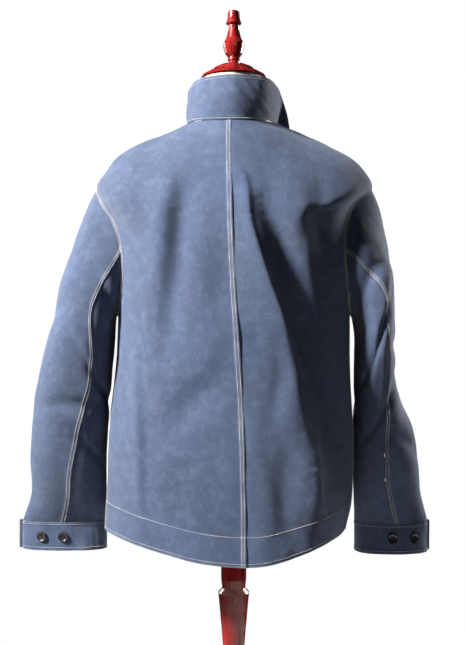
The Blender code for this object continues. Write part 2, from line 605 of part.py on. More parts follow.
def make_button(name, place, facing, finish):
    """A dished button with a raised rim, its back at the place and its face along the direction."""
    rim, dish = BUTTON_RADIUS * 0.98, BUTTON_RADIUS * 0.62
    profile = (
        (rim * 0.8, 0.0),
        (BUTTON_RADIUS, BUTTON_THICK * 0.45),
        (rim * 0.9, BUTTON_THICK),
        (dish, BUTTON_THICK * 0.6),
    )
    facing = unit(np.asarray(facing))
    across = unit(np.cross(facing, np.array([0.0, 0.0, 1.0])))
    up = np.cross(across, facing)
    shape = bmesh.new()
    rings = []
    for radius, height in profile:
        ring = []
        for step in range(BUTTON_SIDES):
            turn = 2 * math.pi * step / BUTTON_SIDES
            point = place + facing * height + radius * (math.cos(turn) * across + math.sin(turn) * up)
            ring.append(shape.verts.new(point))
        rings.append(ring)
    for low, high in zip(rings, rings[1:]):
        for step in range(BUTTON_SIDES):
            after = (step + 1) % BUTTON_SIDES
            shape.faces.new((low[step], low[after], high[after], high[step]))
    shape.faces.new(list(reversed(rings[0])))
    shape.faces.new(rings[-1])
    bmesh.ops.recalc_face_normals(shape, faces=shape.faces)
    mesh = bpy.data.meshes.new(name)
    shape.to_mesh(mesh)
    shape.free()
    add_object(name, mesh, finish)


def make_buttons(grids, normals, finish):
    """Two buttons on the back of each cuff, and a row down the front's lap."""
    for side, word in ((LEFT, "left"), (RIGHT, "right")):
        cuff = CUFFS[side]
        path = cuff_path(cuff, side, CUFF_STEPS)
        middles = (path[1:] + path[:-1]) / 2
        for number, x in enumerate(cuff.buttons, start=1):
            off = np.where(middles[:, 1] > cuff.middle, np.abs(np.abs(middles[:, 0]) - x), 1.0)
            near = int(off.argmin())
            run = path[near + 1] - path[near]
            facing = unit(np.array([-run[1], run[0], 0.0]))
            facing *= np.sign(facing[1])
            on_strip = path[near] + run * (side * x - path[near, 0]) / run[0]
            place = np.array([*on_strip, CUFF_BUTTON_Z]) + BUTTON_SEAT * facing
            make_button(f"cuff_button_{word}_{number}", place, facing, finish)
    rows = body_rows()
    left = grids[LEFT, FRONT]
    for number, t in enumerate(FRONT_BUTTONS, start=1):
        middle = np.array([np.interp(t, rows, (left[:, 0, axis] + left[:, 1, axis]) / 2) for axis in range(3)])
        facing = unit(np.array([np.interp(t, rows, normals[LEFT, FRONT][:, 1, axis]) for axis in range(3)]))
        make_button(f"front_button_{number}", middle + FRONT_BUTTON_SEAT * facing, facing, finish)


def form_ring(table, t, columns):
    """One closed ring of the body's surface, from the centre back by the left, front and right."""
    share = np.linspace(0.0, 1.0, columns + 1)
    at = np.full_like(share, t)
    quarters = [
        body_points(table, LEFT, BACK, at, share)[:-1],
        body_points(table, LEFT, FRONT, at, share)[:0:-1],
        body_points(table, RIGHT, FRONT, at, share)[:-1],
        body_points(table, RIGHT, BACK, at, share)[:0:-1],
    ]
    return np.concatenate(quarters)


def make_form(finish):
    """The limbless form, from its neck over shoulders that lie just under the jacket's, to its foot."""
    rings = []
    count = 4 * FORM_COLUMNS
    turns = np.linspace(0.0, 2 * math.pi, count + 1)[:-1]
    for neck in FORM_NECK:
        x = AXIS_X + neck.half_width * np.sin(turns)
        y = neck.half_depth * np.cos(turns)
        end_z = np.where(y > 0.0, neck.back_z, neck.front_z)
        rings.append(np.stack([x, y, neck.side_z + (end_z - neck.side_z) * np.cos(turns) ** 2], axis=-1))
    step = 0.01
    for t in FORM_SHOULDERS:
        ring = form_ring(BODY, t, FORM_COLUMNS)
        down = form_ring(BODY, t + step, FORM_COLUMNS) - ring
        over = np.roll(ring, -1, axis=0) - np.roll(ring, 1, axis=0)
        normal = unit(np.cross(down, over))
        normal *= np.sign(normal[:, 2:])
        rings.append(ring - FORM_CLEARANCE * normal)
    for t in np.linspace(0.0, 1.0, FORM_ROWS + 1):
        rings.append(form_ring(FORM, t, FORM_COLUMNS))
    shape = bmesh.new()
    loops = [[shape.verts.new(point) for point in ring] for ring in rings]
    for high, low in zip(loops, loops[1:]):
        for step in range(count):
            after = (step + 1) % count
            shape.faces.new((high[step], high[after], low[after], low[step]))
    shape.faces.new(loops[0])
    shape.faces.new(list(reversed(loops[-1])))
    bmesh.ops.recalc_face_normals(shape, faces=shape.faces)
    mesh = bpy.data.meshes.new("form_torso")
    shape.to_mesh(mesh)
    shape.free()
    add_object("form_torso", mesh, finish)


def main():
    for old in list(bpy.data.objects):
        bpy.data.objects.remove(old, do_unlink=True)
    cloth = material("navy_twill", (0.045, 0.062, 0.110), 0.85)
    horn = material("dark_horn", (0.030, 0.026, 0.030), 0.35)
    cream = material("cream_cover", (0.78, 0.70, 0.56), 0.80)
    wood = material("mahogany_varnish", (0.16, 0.015, 0.012), 0.20)
    grids, normals = panels()
    make_body(grids, normals, cloth)
    make_collar(grids, cloth)
    make_sleeve(LEFT, "sleeve_left", grids, normals, cloth)
    make_sleeve(RIGHT, "sleeve_right", grids, normals, cloth)
    make_cuff(LEFT, "cuff_left", cloth)
    make_cuff(RIGHT, "cuff_right", cloth)
    make_buttons(grids, normals, horn)
    make_form(cream)
    turned("neck_cap", CAP_PROFILE, wood)
    turned("finial", FINIAL_PROFILE, wood)
    turned("pole", POLE_PROFILE, wood)
    turned("base", BASE_PROFILE, wood, BASE_SIDES)


main()
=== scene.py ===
"""Looks of a navy twill work jacket that hangs on a limbless dress form with a turned stand.

The jacket faces -Y and its back faces +Y, which is the side that the camera sees. Each cloth piece is a
grid of points on its solid's own surface, made finer, with its creases, seams and stitches added.
"""

import logging
import math
from dataclasses import dataclass, field
from enum import Enum

import bpy
import numpy as np
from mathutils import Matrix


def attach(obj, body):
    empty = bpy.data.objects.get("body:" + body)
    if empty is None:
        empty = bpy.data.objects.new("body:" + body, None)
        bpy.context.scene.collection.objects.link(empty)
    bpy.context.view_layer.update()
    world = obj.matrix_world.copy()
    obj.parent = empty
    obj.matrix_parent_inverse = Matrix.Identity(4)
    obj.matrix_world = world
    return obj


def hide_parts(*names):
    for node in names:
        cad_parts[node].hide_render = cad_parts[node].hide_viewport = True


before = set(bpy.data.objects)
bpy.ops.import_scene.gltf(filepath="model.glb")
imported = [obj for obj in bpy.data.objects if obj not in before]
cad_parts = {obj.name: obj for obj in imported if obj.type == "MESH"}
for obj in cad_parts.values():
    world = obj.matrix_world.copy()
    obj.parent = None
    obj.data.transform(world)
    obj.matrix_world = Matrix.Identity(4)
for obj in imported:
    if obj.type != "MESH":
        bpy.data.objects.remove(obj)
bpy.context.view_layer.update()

LOG = logging.getLogger("jacket")
Array = np.ndarray
FLAT_MAP = "flat"
WEAR = "wear"


class Side(Enum):
    """A side of the jacket as its wearer has it, with the sign of its X."""

    LEFT = 1
    RIGHT = -1

    @property
    def word(self) -> str:
        """The side's name as it stands in the nodes' names."""
        return self.name.lower()


class Face(Enum):
    """The back or the front of the body, with the sign of its Y."""

    BACK = 1
    FRONT = -1

    @property
    def word(self) -> str:
        """The face's name as it stands in the nodes' names."""
        return self.name.lower()


def smooth(value: Array | float) -> Array | float:
    """An even step from 0 to 1 as the value goes from 0 to 1."""
    held = np.clip(value, 0.0, 1.0)
    return held * held * (3.0 - 2.0 * held)


def signed_power(value: Array, power: float | Array) -> Array:
    """The value's size raised to a power, with its sign kept."""
    return np.sign(value) * np.abs(value) ** power


def unit(vector: Array) -> Array:
    """The vectors at length one."""
    return vector / np.maximum(np.linalg.norm(vector, axis=-1, keepdims=True), 1e-12)


def along(table: tuple, column: str, t: Array | float) -> Array:
    """One column of a table on a smooth curve through its rows.

    Args:
        table: Rows that each have a t and the column.
        column: The column's name.
        t: Where the curve is read.

    Returns:
        The column's values at t.
    """
    at = np.array([row.t for row in table])
    value = np.array([getattr(row, column) for row in table])
    rise = np.diff(value) / np.diff(at)
    before, after = rise[:-1], rise[1:]
    level = before * after <= 0.0
    inner = np.where(level, 0.0, 2.0 * before * after / np.where(level, 1.0, before + after))
    slope = np.concatenate([rise[:1], inner, rise[-1:]])
    first = np.clip(np.searchsorted(at, t, side="right") - 1, 0, len(at) - 2)
    step = at[first + 1] - at[first]
    share = (t - at[first]) / step
    rest = 1.0 - share
    start = (1.0 + 2.0 * share) * rest**2 * value[first] + share * rest**2 * step * slope[first]
    end = share**2 * (3.0 - 2.0 * share) * value[first + 1] - share**2 * rest * step * slope[first + 1]
    return start + end


def surface_normals(grid: Array, centre: Array) -> Array:
    """The unit normals of a grid of points, pointing away from a centre."""
    normal = unit(np.cross(np.gradient(grid, axis=1), np.gradient(grid, axis=0)))
    return -normal if (normal * (grid - centre)).sum() < 0 else normal


def run_lengths(grid: Array, axis: int) -> Array:
    """How far each point lies from its grid line's start, measured along that line."""
    steps = np.linalg.norm(np.diff(grid, axis=axis), axis=-1)
    start = np.zeros_like(np.take(steps, [0], axis=axis))
    return np.concatenate([start, np.cumsum(steps, axis=axis)], axis=axis)


def spread(first: float, last: float, count: int, edge: float, dense: int) -> Array:
    """Places between two ends that lie closer together near both of them.

    Args:
        first: The first place.
        last: The last place.
        count: How many steps lie between the two dense ends.
        edge: The share of the whole that each dense end takes up.
        dense: How many steps each dense end has.

    Returns:
        The places in order.
    """
    near = np.linspace(0.0, edge, dense + 1)
    middle = np.linspace(edge, 1.0 - edge, count + 1)[1:]
    far = np.linspace(1.0 - edge, 1.0, dense + 1)[1:]
    return first + (last - first) * np.concatenate([near, middle, far])


def smooth_path(points: tuple, count: int = 48) -> Array:
    """A smooth curve through a few points of any dimension.

    Args:
        points: The points in order, two or more.
        count: How many points the curve gets.

    Returns:
        The curve's points.
    """
    knots = np.array(points, float)
    if len(knots) == 2:
        return knots[0] + (knots[1] - knots[0]) * np.linspace(0.0, 1.0, count)[:, None]
    padded = np.concatenate([[2 * knots[0] - knots[1]], knots, [2 * knots[-1] - knots[-2]]])
    places = np.linspace(0.0, len(knots) - 1 - 1e-9, count)
    first = places.astype(int)
    share = (places - first)[:, None]
    a, b, c, d = (padded[first + step] for step in range(4))
    return 0.5 * (
        2 * b + (c - a) * share + (2 * a - 5 * b + 4 * c - d) * share**2 + (3 * b - a - 3 * c + d) * share**3
    )


@dataclass(frozen=True)
class Crease:
    """A soft ridge or trough of cloth along a smooth path on a plane.

    Attributes:
        path: The path's points on the plane, such as X and Z seen from behind.
        width: Half its breadth.
        height: Its rise, below nought for a trough.
        steep: How much narrower its far side is, which lies to the right of the path's way.
        crisp: The power of its profile: 2 is round, less is sharper.
        fade: The power of its rise at both ends: less keeps it up for longer.
    """

    path: tuple
    width: float
    height: float
    steep: float = 1.0
    crisp: float = 2.0
    fade: float = 0.7

    def rise(self, plane: Array) -> Array:
        """How far the crease lifts each point of a plane.

        Args:
            plane: The points' places on the crease's plane.

        Returns:
            The rise at each point.
        """
        line = smooth_path(self.path)
        reach = 3.2 * self.width * max(1.0, 1.0 / self.steep)
        near = np.all((plane > line.min(axis=0) - reach) & (plane < line.max(axis=0) + reach), axis=-1)
        rise = np.zeros(plane.shape[:-1])
        points = plane[near]
        if not len(points):
            return rise
        off = points[:, None] - line[None]
        nearest = np.hypot(off[..., 0], off[..., 1]).argmin(axis=1)
        off = off[np.arange(len(points)), nearest]
        run = unit(np.gradient(line, axis=0))[nearest]
        ahead = (off * run).sum(axis=-1)
        across = off[:, 0] * run[:, 1] - off[:, 1] * run[:, 0]
        past = np.where((nearest == 0) & (ahead < 0) | (nearest == len(line) - 1) & (ahead > 0), ahead, 0.0)
        width = np.where(across > 0.0, self.width / self.steep, self.width)
        distance = np.hypot(across, past) / width
        step = np.linalg.norm(line[1] - line[0])
        place = np.clip((nearest + ahead / max(step, 1e-9)) / (len(line) - 1), 0.03, 0.97)
        rise[near] = self.height * np.sin(math.pi * place) ** self.fade * np.exp(-(distance**self.crisp))
        return rise


def creased(creases: tuple, plane: Array) -> Array:
    """The rise of several creases together."""
    rise = np.zeros(plane.shape[:-1])
    for crease in creases:
        rise += crease.rise(plane)
    return rise


@dataclass(frozen=True)
class Ripple:
    """The uneven hand of worn cloth: a few slow waves of many directions, the same on each run.

    Attributes:
        seed: Which ripple of its kind this is.
        height: Its usual rise.
        length: Its longest wave.
        waves: How many waves are added.
        lean: How much longer the waves are along the cloth's length than across it.
    """

    seed: int
    height: float = 0.0006
    length: float = 0.11
    waves: int = 26
    lean: float = 1.8

    def rise(self, flat: Array) -> Array:
        """The ripple at places that are measured on the flat cloth."""
        dice = np.random.default_rng(self.seed)
        total = np.zeros(flat.shape[:-1])
        for _ in range(self.waves):
            length = self.length * dice.uniform(0.16, 1.0)
            turn, phase = dice.uniform(0.0, 2 * math.pi, 2)
            slope = (math.cos(turn), math.sin(turn) / self.lean)
            size = (length / self.length) ** 0.9 * self.height
            total += size * np.sin(
                2 * math.pi * (flat[..., 0] * slope[0] + flat[..., 1] * slope[1]) / length + phase
            )
        return total / math.sqrt(self.waves / 2) * 1.4


@dataclass
class Cloth:
    """A cloth piece as a grid of points, with its normals, its places on the flat cut and its wear."""

    name: str
    points: Array
    centre: Array
    normals: Array = field(default=None)
    flat: Array = field(default=None)
    wear: Array = field(default=None)

    def __post_init__(self) -> None:
        """Work out what the points alone give."""
        if self.normals is None:
            self.normals = surface_normals(self.points, self.centre)
        if self.flat is None:
            self.flat = np.stack([run_lengths(self.points, 1), run_lengths(self.points, 0)], axis=-1)
        self.wear = np.zeros(self.points.shape[:2])

    @property
    def from_start(self) -> Array:
        """How far each point lies from its row's first point."""
        return self.flat[..., 0] - self.flat[:, :1, 0]

    @property
    def from_end(self) -> Array:
        """How far each point lies from its row's last point."""
        return self.flat[:, -1:, 0] - self.flat[..., 0]

    @property
    def from_foot(self) -> Array:
        """How far each point lies from its column's last point."""
        return self.flat[-1:, :, 1] - self.flat[..., 1]

    @property
    def from_head(self) -> Array:
        """How far each point lies from its column's first point."""
        return self.flat[..., 1] - self.flat[:1, :, 1]

    def lift(self, rise: Array, worn: float = 0.0) -> None:
        """Move the points along their normals.

        Args:
            rise: How far each point goes.
            worn: How much wear a millimetre of rise brings.
        """
        self.points = self.points + self.normals * rise[..., None]
        self.normals = surface_normals(self.points, self.centre)
        self.wear = self.wear + np.clip(rise * 1000.0, 0.0, 1.0) * worn

    def at(self, row: Array, column: Array) -> tuple[Array, Array]:
        """The surface's points and normals at fractions of rows and columns."""
        rows, columns = self.points.shape[:2]
        row, column = np.clip(row, 0, rows - 1.001), np.clip(column, 0, columns - 1.001)
        i, j = row.astype(int), column.astype(int)
        s, r = (row - i)[:, None], (column - j)[:, None]
        found = []
        for grid in (self.points, self.normals):
            top = grid[i, j] * (1 - r) + grid[i, j + 1] * r
            found.append(top * (1 - s) + (grid[i + 1, j] * (1 - r) + grid[i + 1, j + 1] * r) * s)
        return found[0], unit(found[1])

    def down_at(self, distance: Array, inset: float) -> tuple[Array, Array]:
        """Where each row comes to lie a distance in from one of its ends.

        Args:
            distance: Each point's distance from that end, along its row.
            inset: How far in the line lies.

        Returns:
            The rows and the fractions of columns.
        """
        rows = np.arange(self.points.shape[0])
        columns = np.arange(self.points.shape[1])
        falling = distance[0, 0] > distance[0, -1]
        place = [
            np.interp(inset, line[::-1] if falling else line, columns[::-1] if falling else columns)
            for line in distance
        ]
        return rows.astype(float), np.array(place)

    def across_at(self, height: Array, wanted: Array | float) -> tuple[Array, Array]:
        """Where each column comes to a wanted height.

        Args:
            height: A value of each point that rises or falls down the columns.
            wanted: The value looked for, one for all or one for each column.

        Returns:
            The fractions of rows and the columns.
        """
        rows = np.arange(self.points.shape[0])
        columns = np.arange(self.points.shape[1])
        falling = height[0, 0] > height[-1, 0]
        each = np.broadcast_to(wanted, columns.shape)
        place = [
            np.interp(each[j], height[::-1, j] if falling else height[:, j], rows[::-1] if falling else rows)
            for j in columns
        ]
        return np.array(place), columns.astype(float)

    def declare(self) -> None:
        """Work out the cross products of the grid cells' sides, which nothing keeps or reports.
        """
        corners = self.points
        sides = np.cross(corners[1:, :-1] - corners[:-1, :-1], corners[:-1, 1:] - corners[:-1, :-1])

    def dress(self, node: str, thickness: Array | float, finish: bpy.types.Material) -> bpy.types.Object:
        """Build the piece in the place of its solid.

        Args:
            node: The solid's name.
            thickness: The cloth's thickness, one for all or one for each point.
            finish: The cloth's material.

        Returns:
            The new object.
        """
        made = self.make(thickness, finish)
        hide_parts(node)
        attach(made, "root")
        return made

    def make(self, thickness: Array | float, finish: bpy.types.Material) -> bpy.types.Object:
        """Build the piece as a closed thin shell.

        Args:
            thickness: The cloth's thickness, one for all or one for each point.
            finish: The material of the whole piece.

        Returns:
            The new object.
        """
        depth = np.broadcast_to(thickness, self.points.shape[:2])[..., None]
        inner = self.points - self.normals * depth
        made = shell(self.name, self.points, inner, self.normals, self.flat, self.wear)
        made.data.materials.append(finish)
        return made


def shell(
    name: str, outer: Array, inner: Array, normals: Array, flat: Array, wear: Array
) -> bpy.types.Object:
    """A closed thin shell between two grids of points.

    Args:
        name: The object's name.
        outer: The outer points, rows by columns.
        inner: The inner points that match them.
        normals: The outer points' outward normals.
        flat: Each point's place on the flat cut.
        wear: How worn each point is.

    Returns:
        The new object, with the flat map and the wear attribute.
    """
    rows, columns = outer.shape[:2]
    count = rows * columns
    index = np.arange(count).reshape(rows, columns)
    quads = np.stack([index[:-1, :-1], index[:-1, 1:], index[1:, 1:], index[1:, :-1]], axis=-1).reshape(-1, 4)
    middle = quads[len(quads) // 2]
    points = outer.reshape(-1, 3)
    facing = np.cross(points[middle[1]] - points[middle[0]], points[middle[3]] - points[middle[0]])
    if facing @ normals.reshape(-1, 3)[middle[0]] < 0:
        quads = quads[:, ::-1]
        turned_over = True
    else:
        turned_over = False
    border = np.concatenate([index[0], index[1:, -1], index[-1, -2::-1], index[-2:0:-1, 0]])
    after = np.roll(border, -1)
    rim = np.stack([after, border, border + count, after + count], axis=-1)
    rim = rim[:, ::-1] if turned_over else rim
    faces = np.concatenate([quads, quads[:, ::-1] + count, rim])
    mesh = bpy.data.meshes.new(name)
    mesh.from_pydata(np.concatenate([points, inner.reshape(-1, 3)]).tolist(), [], faces.tolist())
    both = np.concatenate([flat.reshape(-1, 2)] * 2)
    layer = mesh.uv_layers.new(name=FLAT_MAP)
    layer.data.foreach_set("uv", both[faces.reshape(-1)].astype(np.float32).reshape(-1))
    worn = mesh.attributes.new(WEAR, "FLOAT", "POINT")
    worn.data.foreach_set("value", np.concatenate([wear.reshape(-1)] * 2).astype(np.float32))
    mesh.shade_smooth()
    mesh.set_sharp_from_angle(angle=math.radians(50))
    made = bpy.data.objects.new(name, mesh)
    bpy.context.scene.collection.objects.link(made)
    return made


class Value:
    """A shader socket on which Python's own operators add the Math nodes."""

    def __init__(self, graph: "Graph", socket: bpy.types.NodeSocket) -> None:
        """Keep the socket with the graph that it belongs to."""
        self.graph = graph
        self.socket = socket

    def _math(self, operation: str, *values: "Value | float") -> "Value":
        """Add a Math node."""
        return self.graph.node(
            "ShaderNodeMath", {"operation": operation}, dict(enumerate(values))
        )

    def __add__(self, other: "Value | float") -> "Value":
        """This plus the other."""
        return self._math("ADD", self, other)

    __radd__ = __add__

    def __mul__(self, other: "Value | float") -> "Value":
        """This times the other."""
        return self._math("MULTIPLY", self, other)

    __rmul__ = __mul__

    def __sub__(self, other: "Value | float") -> "Value":
        """This less the other."""
        return self._math("SUBTRACT", self, other)

    def __rsub__(self, other: float) -> "Value":
        """The other less this."""
        return self._math("SUBTRACT", other, self)

    def __pow__(self, power: float) -> "Value":
        """This raised to a power."""
        return self._math("POWER", self, power)

    def sine(self) -> "Value":
        """The sine of this."""
        return self._math("SINE", self)

    def clamped(self) -> "Value":
        """This held between 0 and 1."""
        return self._math("MINIMUM", self._math("MAXIMUM", self, 0.0), 1.0)


class Graph:
    """The node tree of one finish."""

    def __init__(self, name: str) -> None:
        """Start a material that holds one Principled shader."""
        self.material = bpy.data.materials.new(name)
        self.material.use_nodes = True
        self.nodes = self.material.node_tree.nodes
        self.links = self.material.node_tree.links
        self.shader = self.nodes["Principled BSDF"]

    def node(self, kind: str, settings: dict, inputs: dict, output: int | str = 0) -> Value:
        """Add a node of any kind.

        Args:
            kind: The node's type.
            settings: Its own settings by name, and a ramp's stops under "stops".
            inputs: Values or links by socket name or number.
            output: Which of its sockets is wanted.

        Returns:
            The wanted output.
        """
        node = self.nodes.new(kind)
        for name, value in settings.items():
            if name == "stops":
                self._stops(node.color_ramp, value)
            else:
                setattr(node, name, value)
        for name, value in inputs.items():
            self.connect(node.inputs[name], value)
        return Value(self, node.outputs[output])

    @staticmethod
    def _stops(ramp: bpy.types.ColorRamp, stops: tuple) -> None:
        """Set a ramp's stops, each a place and a colour."""
        while len(ramp.elements) < len(stops):
            ramp.elements.new(0.5)
        for element, (place, colour) in zip(ramp.elements, stops):
            element.position = place
            element.color = (*colour, 1.0)

    def connect(self, socket: bpy.types.NodeSocket, value: "Value | float | tuple") -> None:
        """Link a socket to a value, or set it to a constant."""
        if isinstance(value, Value):
            self.links.new(value.socket, socket)
        elif isinstance(value, tuple) and socket.type == "RGBA":
            socket.default_value = (*value, 1.0)
        else:
            socket.default_value = value

    def noise(self, where: Value, scale: float, detail: float = 2.0, rough: float = 0.5) -> Value:
        """A noise texture's value, from 0 to 1."""
        inputs = {"Vector": where, "Scale": scale, "Detail": detail, "Roughness": rough}
        return self.node("ShaderNodeTexNoise", {"noise_dimensions": "3D"}, inputs)

    def stretched(self, where: Value, scale: tuple) -> Value:
        """Coordinates stretched along their axes."""
        return self.node("ShaderNodeMapping", {}, {"Vector": where, "Scale": scale})

    def flat(self) -> Value:
        """The place on the flat cloth, in metres."""
        return self.node("ShaderNodeUVMap", {"uv_map": FLAT_MAP}, {})

    def place(self) -> Value:
        """The place in the object's own frame."""
        return self.node("ShaderNodeTexCoord", {}, {}, "Object")

    def parts(self, vector: Value) -> tuple[Value, Value, Value]:
        """The three numbers of a vector."""
        node = self.nodes.new("ShaderNodeSeparateXYZ")
        self.links.new(vector.socket, node.inputs[0])
        return tuple(Value(self, socket) for socket in node.outputs)

    def ranged(self, value: Value, low: float, high: float, first: float = 0.0, last: float = 1.0) -> Value:
        """A value moved from one range to another and held within it."""
        inputs = {0: value, 1: low, 2: high, 3: first, 4: last}
        return self.node("ShaderNodeMapRange", {"interpolation_type": "SMOOTHSTEP"}, inputs)

    def mixed(self, share: Value | float, first: Value | tuple, second: Value | tuple) -> Value:
        """Two colours mixed by a share."""
        inputs = {0: share, 6: first, 7: second}
        return self.node("ShaderNodeMix", {"data_type": "RGBA"}, inputs, 2)

    def finish(self, colour: Value, roughness: Value | float, height: Value | None, depth: float) -> None:
        """Feed the shader.

        Args:
            colour: The base colour.
            roughness: The roughness.
            height: The height that a Bump node reads, from 0 to 1, or None.
            depth: What a height of 1 stands for, in metres.
        """
        self.connect(self.shader.inputs["Base Color"], colour)
        self.connect(self.shader.inputs["Roughness"], roughness)
        if height is not None:
            bump = self.node("ShaderNodeBump", {}, {"Strength": 1.0, "Distance": depth, "Height": height})
            self.connect(self.shader.inputs["Normal"], bump)


@dataclass(frozen=True)
class Twill:
    """Washed cotton twill, with its ribs, its uneven fading and its worn ridges."""

    deep: tuple = (0.021, 0.031, 0.062)
    blue: tuple = (0.052, 0.078, 0.150)
    washed: tuple = (0.090, 0.112, 0.165)
    abraded: tuple = (0.20, 0.22, 0.25)
    rib: float = 0.00085
    rib_slope: float = 1.9

    def material(self, name: str = "navy_twill") -> bpy.types.Material:
        """Build the material."""
        graph = Graph(name)
        flat = graph.flat()
        place = graph.place()
        u, v, _ = graph.parts(flat)
        turn = 2 * math.pi / self.rib
        ribs = (u * turn + v * (turn / self.rib_slope)).sine() * 0.5 + 0.5
        yarns = (v * (turn * 1.15) - u * (turn * 0.35)).sine() * 0.5 + 0.5
        weave = ribs * 0.7 + ribs * yarns * 0.3
        slub = graph.noise(graph.stretched(flat, (900.0, 60.0, 1.0)), 1.0, 2.0)
        fleck = graph.noise(flat, 420.0, 3.0, 0.7)
        cloudy = graph.noise(place, 7.0, 3.0, 0.5)
        patchy = graph.noise(place, 70.0, 4.0, 0.65)
        shade = graph.ranged(cloudy * 0.45 + patchy * 0.55, 0.25, 0.75)
        colour = graph.mixed(shade * 0.6 + 0.3, self.deep, self.blue)
        colour = graph.mixed(graph.ranged(patchy, 0.45, 0.75) * 0.30, colour, self.washed)
        worn = graph.node("ShaderNodeAttribute", {"attribute_name": WEAR}, {}, "Fac")
        rubbed = (worn * graph.ranged(fleck * 0.6 + patchy * 0.4, 0.36, 0.62)).clamped()
        colour = graph.mixed(rubbed * 0.85, colour, self.abraded)
        thread = (ribs * 0.28 + slub * 0.45 + fleck * 0.35).clamped()
        colour = graph.mixed(graph.ranged(thread, 0.40, 0.95) * 0.30, colour, self.abraded)
        roughness = graph.ranged(cloudy, 0.2, 0.8, 0.72, 0.90)
        graph.finish(colour, roughness, weave * 0.8 + fleck * 0.2, 0.00022)
        graph.shader.inputs["Specular IOR Level"].default_value = 0.25
        graph.shader.inputs["Sheen Weight"].default_value = 0.10
        graph.shader.inputs["Sheen Roughness"].default_value = 0.5
        return graph.material


@dataclass(frozen=True)
class Thread:
    """Pale sewing thread with a twist."""

    light: tuple = (0.60, 0.56, 0.52)
    dark: tuple = (0.34, 0.33, 0.35)

    def material(self, name: str = "pale_thread") -> bpy.types.Material:
        """Build the material."""
        graph = Graph(name)
        place = graph.place()
        soil = graph.noise(place, 45.0, 3.0)
        fibre = graph.noise(place, 2600.0, 1.0)
        colour = graph.mixed(graph.ranged(soil, 0.35, 0.65), self.dark, self.light)
        graph.finish(colour, graph.ranged(fibre, 0.2, 0.8, 0.65, 0.85), fibre, 0.0001)
        return graph.material


@dataclass(frozen=True)
class Horn:
    """Dark polished buttons with a faint mottle and fine scratches."""

    dark: tuple = (0.016, 0.015, 0.018)
    brown: tuple = (0.050, 0.040, 0.042)

    def material(self, name: str = "dark_horn") -> bpy.types.Material:
        """Build the material."""
        graph = Graph(name)
        place = graph.place()
        mottle = graph.noise(place, 260.0, 3.0, 0.6)
        scratch = graph.noise(graph.stretched(place, (3000.0, 300.0, 1800.0)), 1.0, 2.0)
        colour = graph.mixed(graph.ranged(mottle, 0.42, 0.70), self.dark, self.brown)
        graph.finish(colour, graph.ranged(scratch, 0.3, 0.7, 0.16, 0.34), scratch, 0.00002)
        return graph.material


@dataclass(frozen=True)
class Cover:
    """The form's cream cotton cover in a plain weave."""

    light: tuple = (0.80, 0.71, 0.56)
    dark: tuple = (0.66, 0.56, 0.42)
    yarn: float = 0.0007

    def material(self, name: str = "cream_cover") -> bpy.types.Material:
        """Build the material."""
        graph = Graph(name)
        place = graph.place()
        x, y, z = graph.parts(place)
        turn = 2 * math.pi / self.yarn
        weave = ((x + y) * turn).sine() * (z * turn).sine() * 0.5 + 0.5
        cloudy = graph.noise(place, 16.0, 3.0)
        colour = graph.mixed(graph.ranged(cloudy, 0.35, 0.7) * 0.7 + weave * 0.15, self.dark, self.light)
        graph.finish(colour, graph.ranged(cloudy, 0.3, 0.7, 0.78, 0.92), weave, 0.00025)
        return graph.material


@dataclass(frozen=True)
class Mahogany:
    """Dark red varnished wood with its grain along the height."""

    red: tuple = (0.240, 0.012, 0.010)
    dark: tuple = (0.070, 0.004, 0.004)

    def material(self, name: str = "mahogany_varnish") -> bpy.types.Material:
        """Build the material."""
        graph = Graph(name)
        place = graph.place()
        grain = graph.noise(graph.stretched(place, (130.0, 130.0, 9.0)), 1.0, 4.0, 0.6)
        pores = graph.noise(graph.stretched(place, (900.0, 900.0, 60.0)), 1.0, 2.0)
        streak = (grain * 0.75 + pores * 0.25).clamped()
        colour = graph.mixed(graph.ranged(streak, 0.34, 0.62), self.dark, self.red)
        handled = graph.noise(place, 30.0, 3.0)
        graph.finish(colour, graph.ranged(handled, 0.3, 0.7, 0.14, 0.26), grain * 0.5 + pores * 0.5, 0.00006)
        graph.shader.inputs["Coat Weight"].default_value = 0.6
        graph.shader.inputs["Coat Roughness"].default_value = 0.08
        return graph.material


@dataclass(frozen=True)
class PaleWall:
    """The plain pale floor."""

    light: tuple = (0.86, 0.85, 0.83)
    dark: tuple = (0.80, 0.79, 0.77)

    def material(self, name: str = "pale_floor") -> bpy.types.Material:
        """Build the material."""
        graph = Graph(name)
        cloudy = graph.noise(graph.place(), 1.5, 3.0)
        colour = graph.mixed(graph.ranged(cloudy, 0.3, 0.7), self.dark, self.light)
        graph.finish(colour, 0.8, None, 0.0)
        return graph.material


@dataclass
class Finishes:
    """Every finish of the scene, each made once."""

    twill: bpy.types.Material = None
    thread: bpy.types.Material = None
    horn: bpy.types.Material = None
    cover: bpy.types.Material = None
    wood: bpy.types.Material = None

    def __post_init__(self) -> None:
        """Build the materials."""
        self.twill = Twill().material()
        self.thread = Thread().material()
        self.horn = Horn().material()
        self.cover = Cover().material()
        self.wood = Mahogany().material()


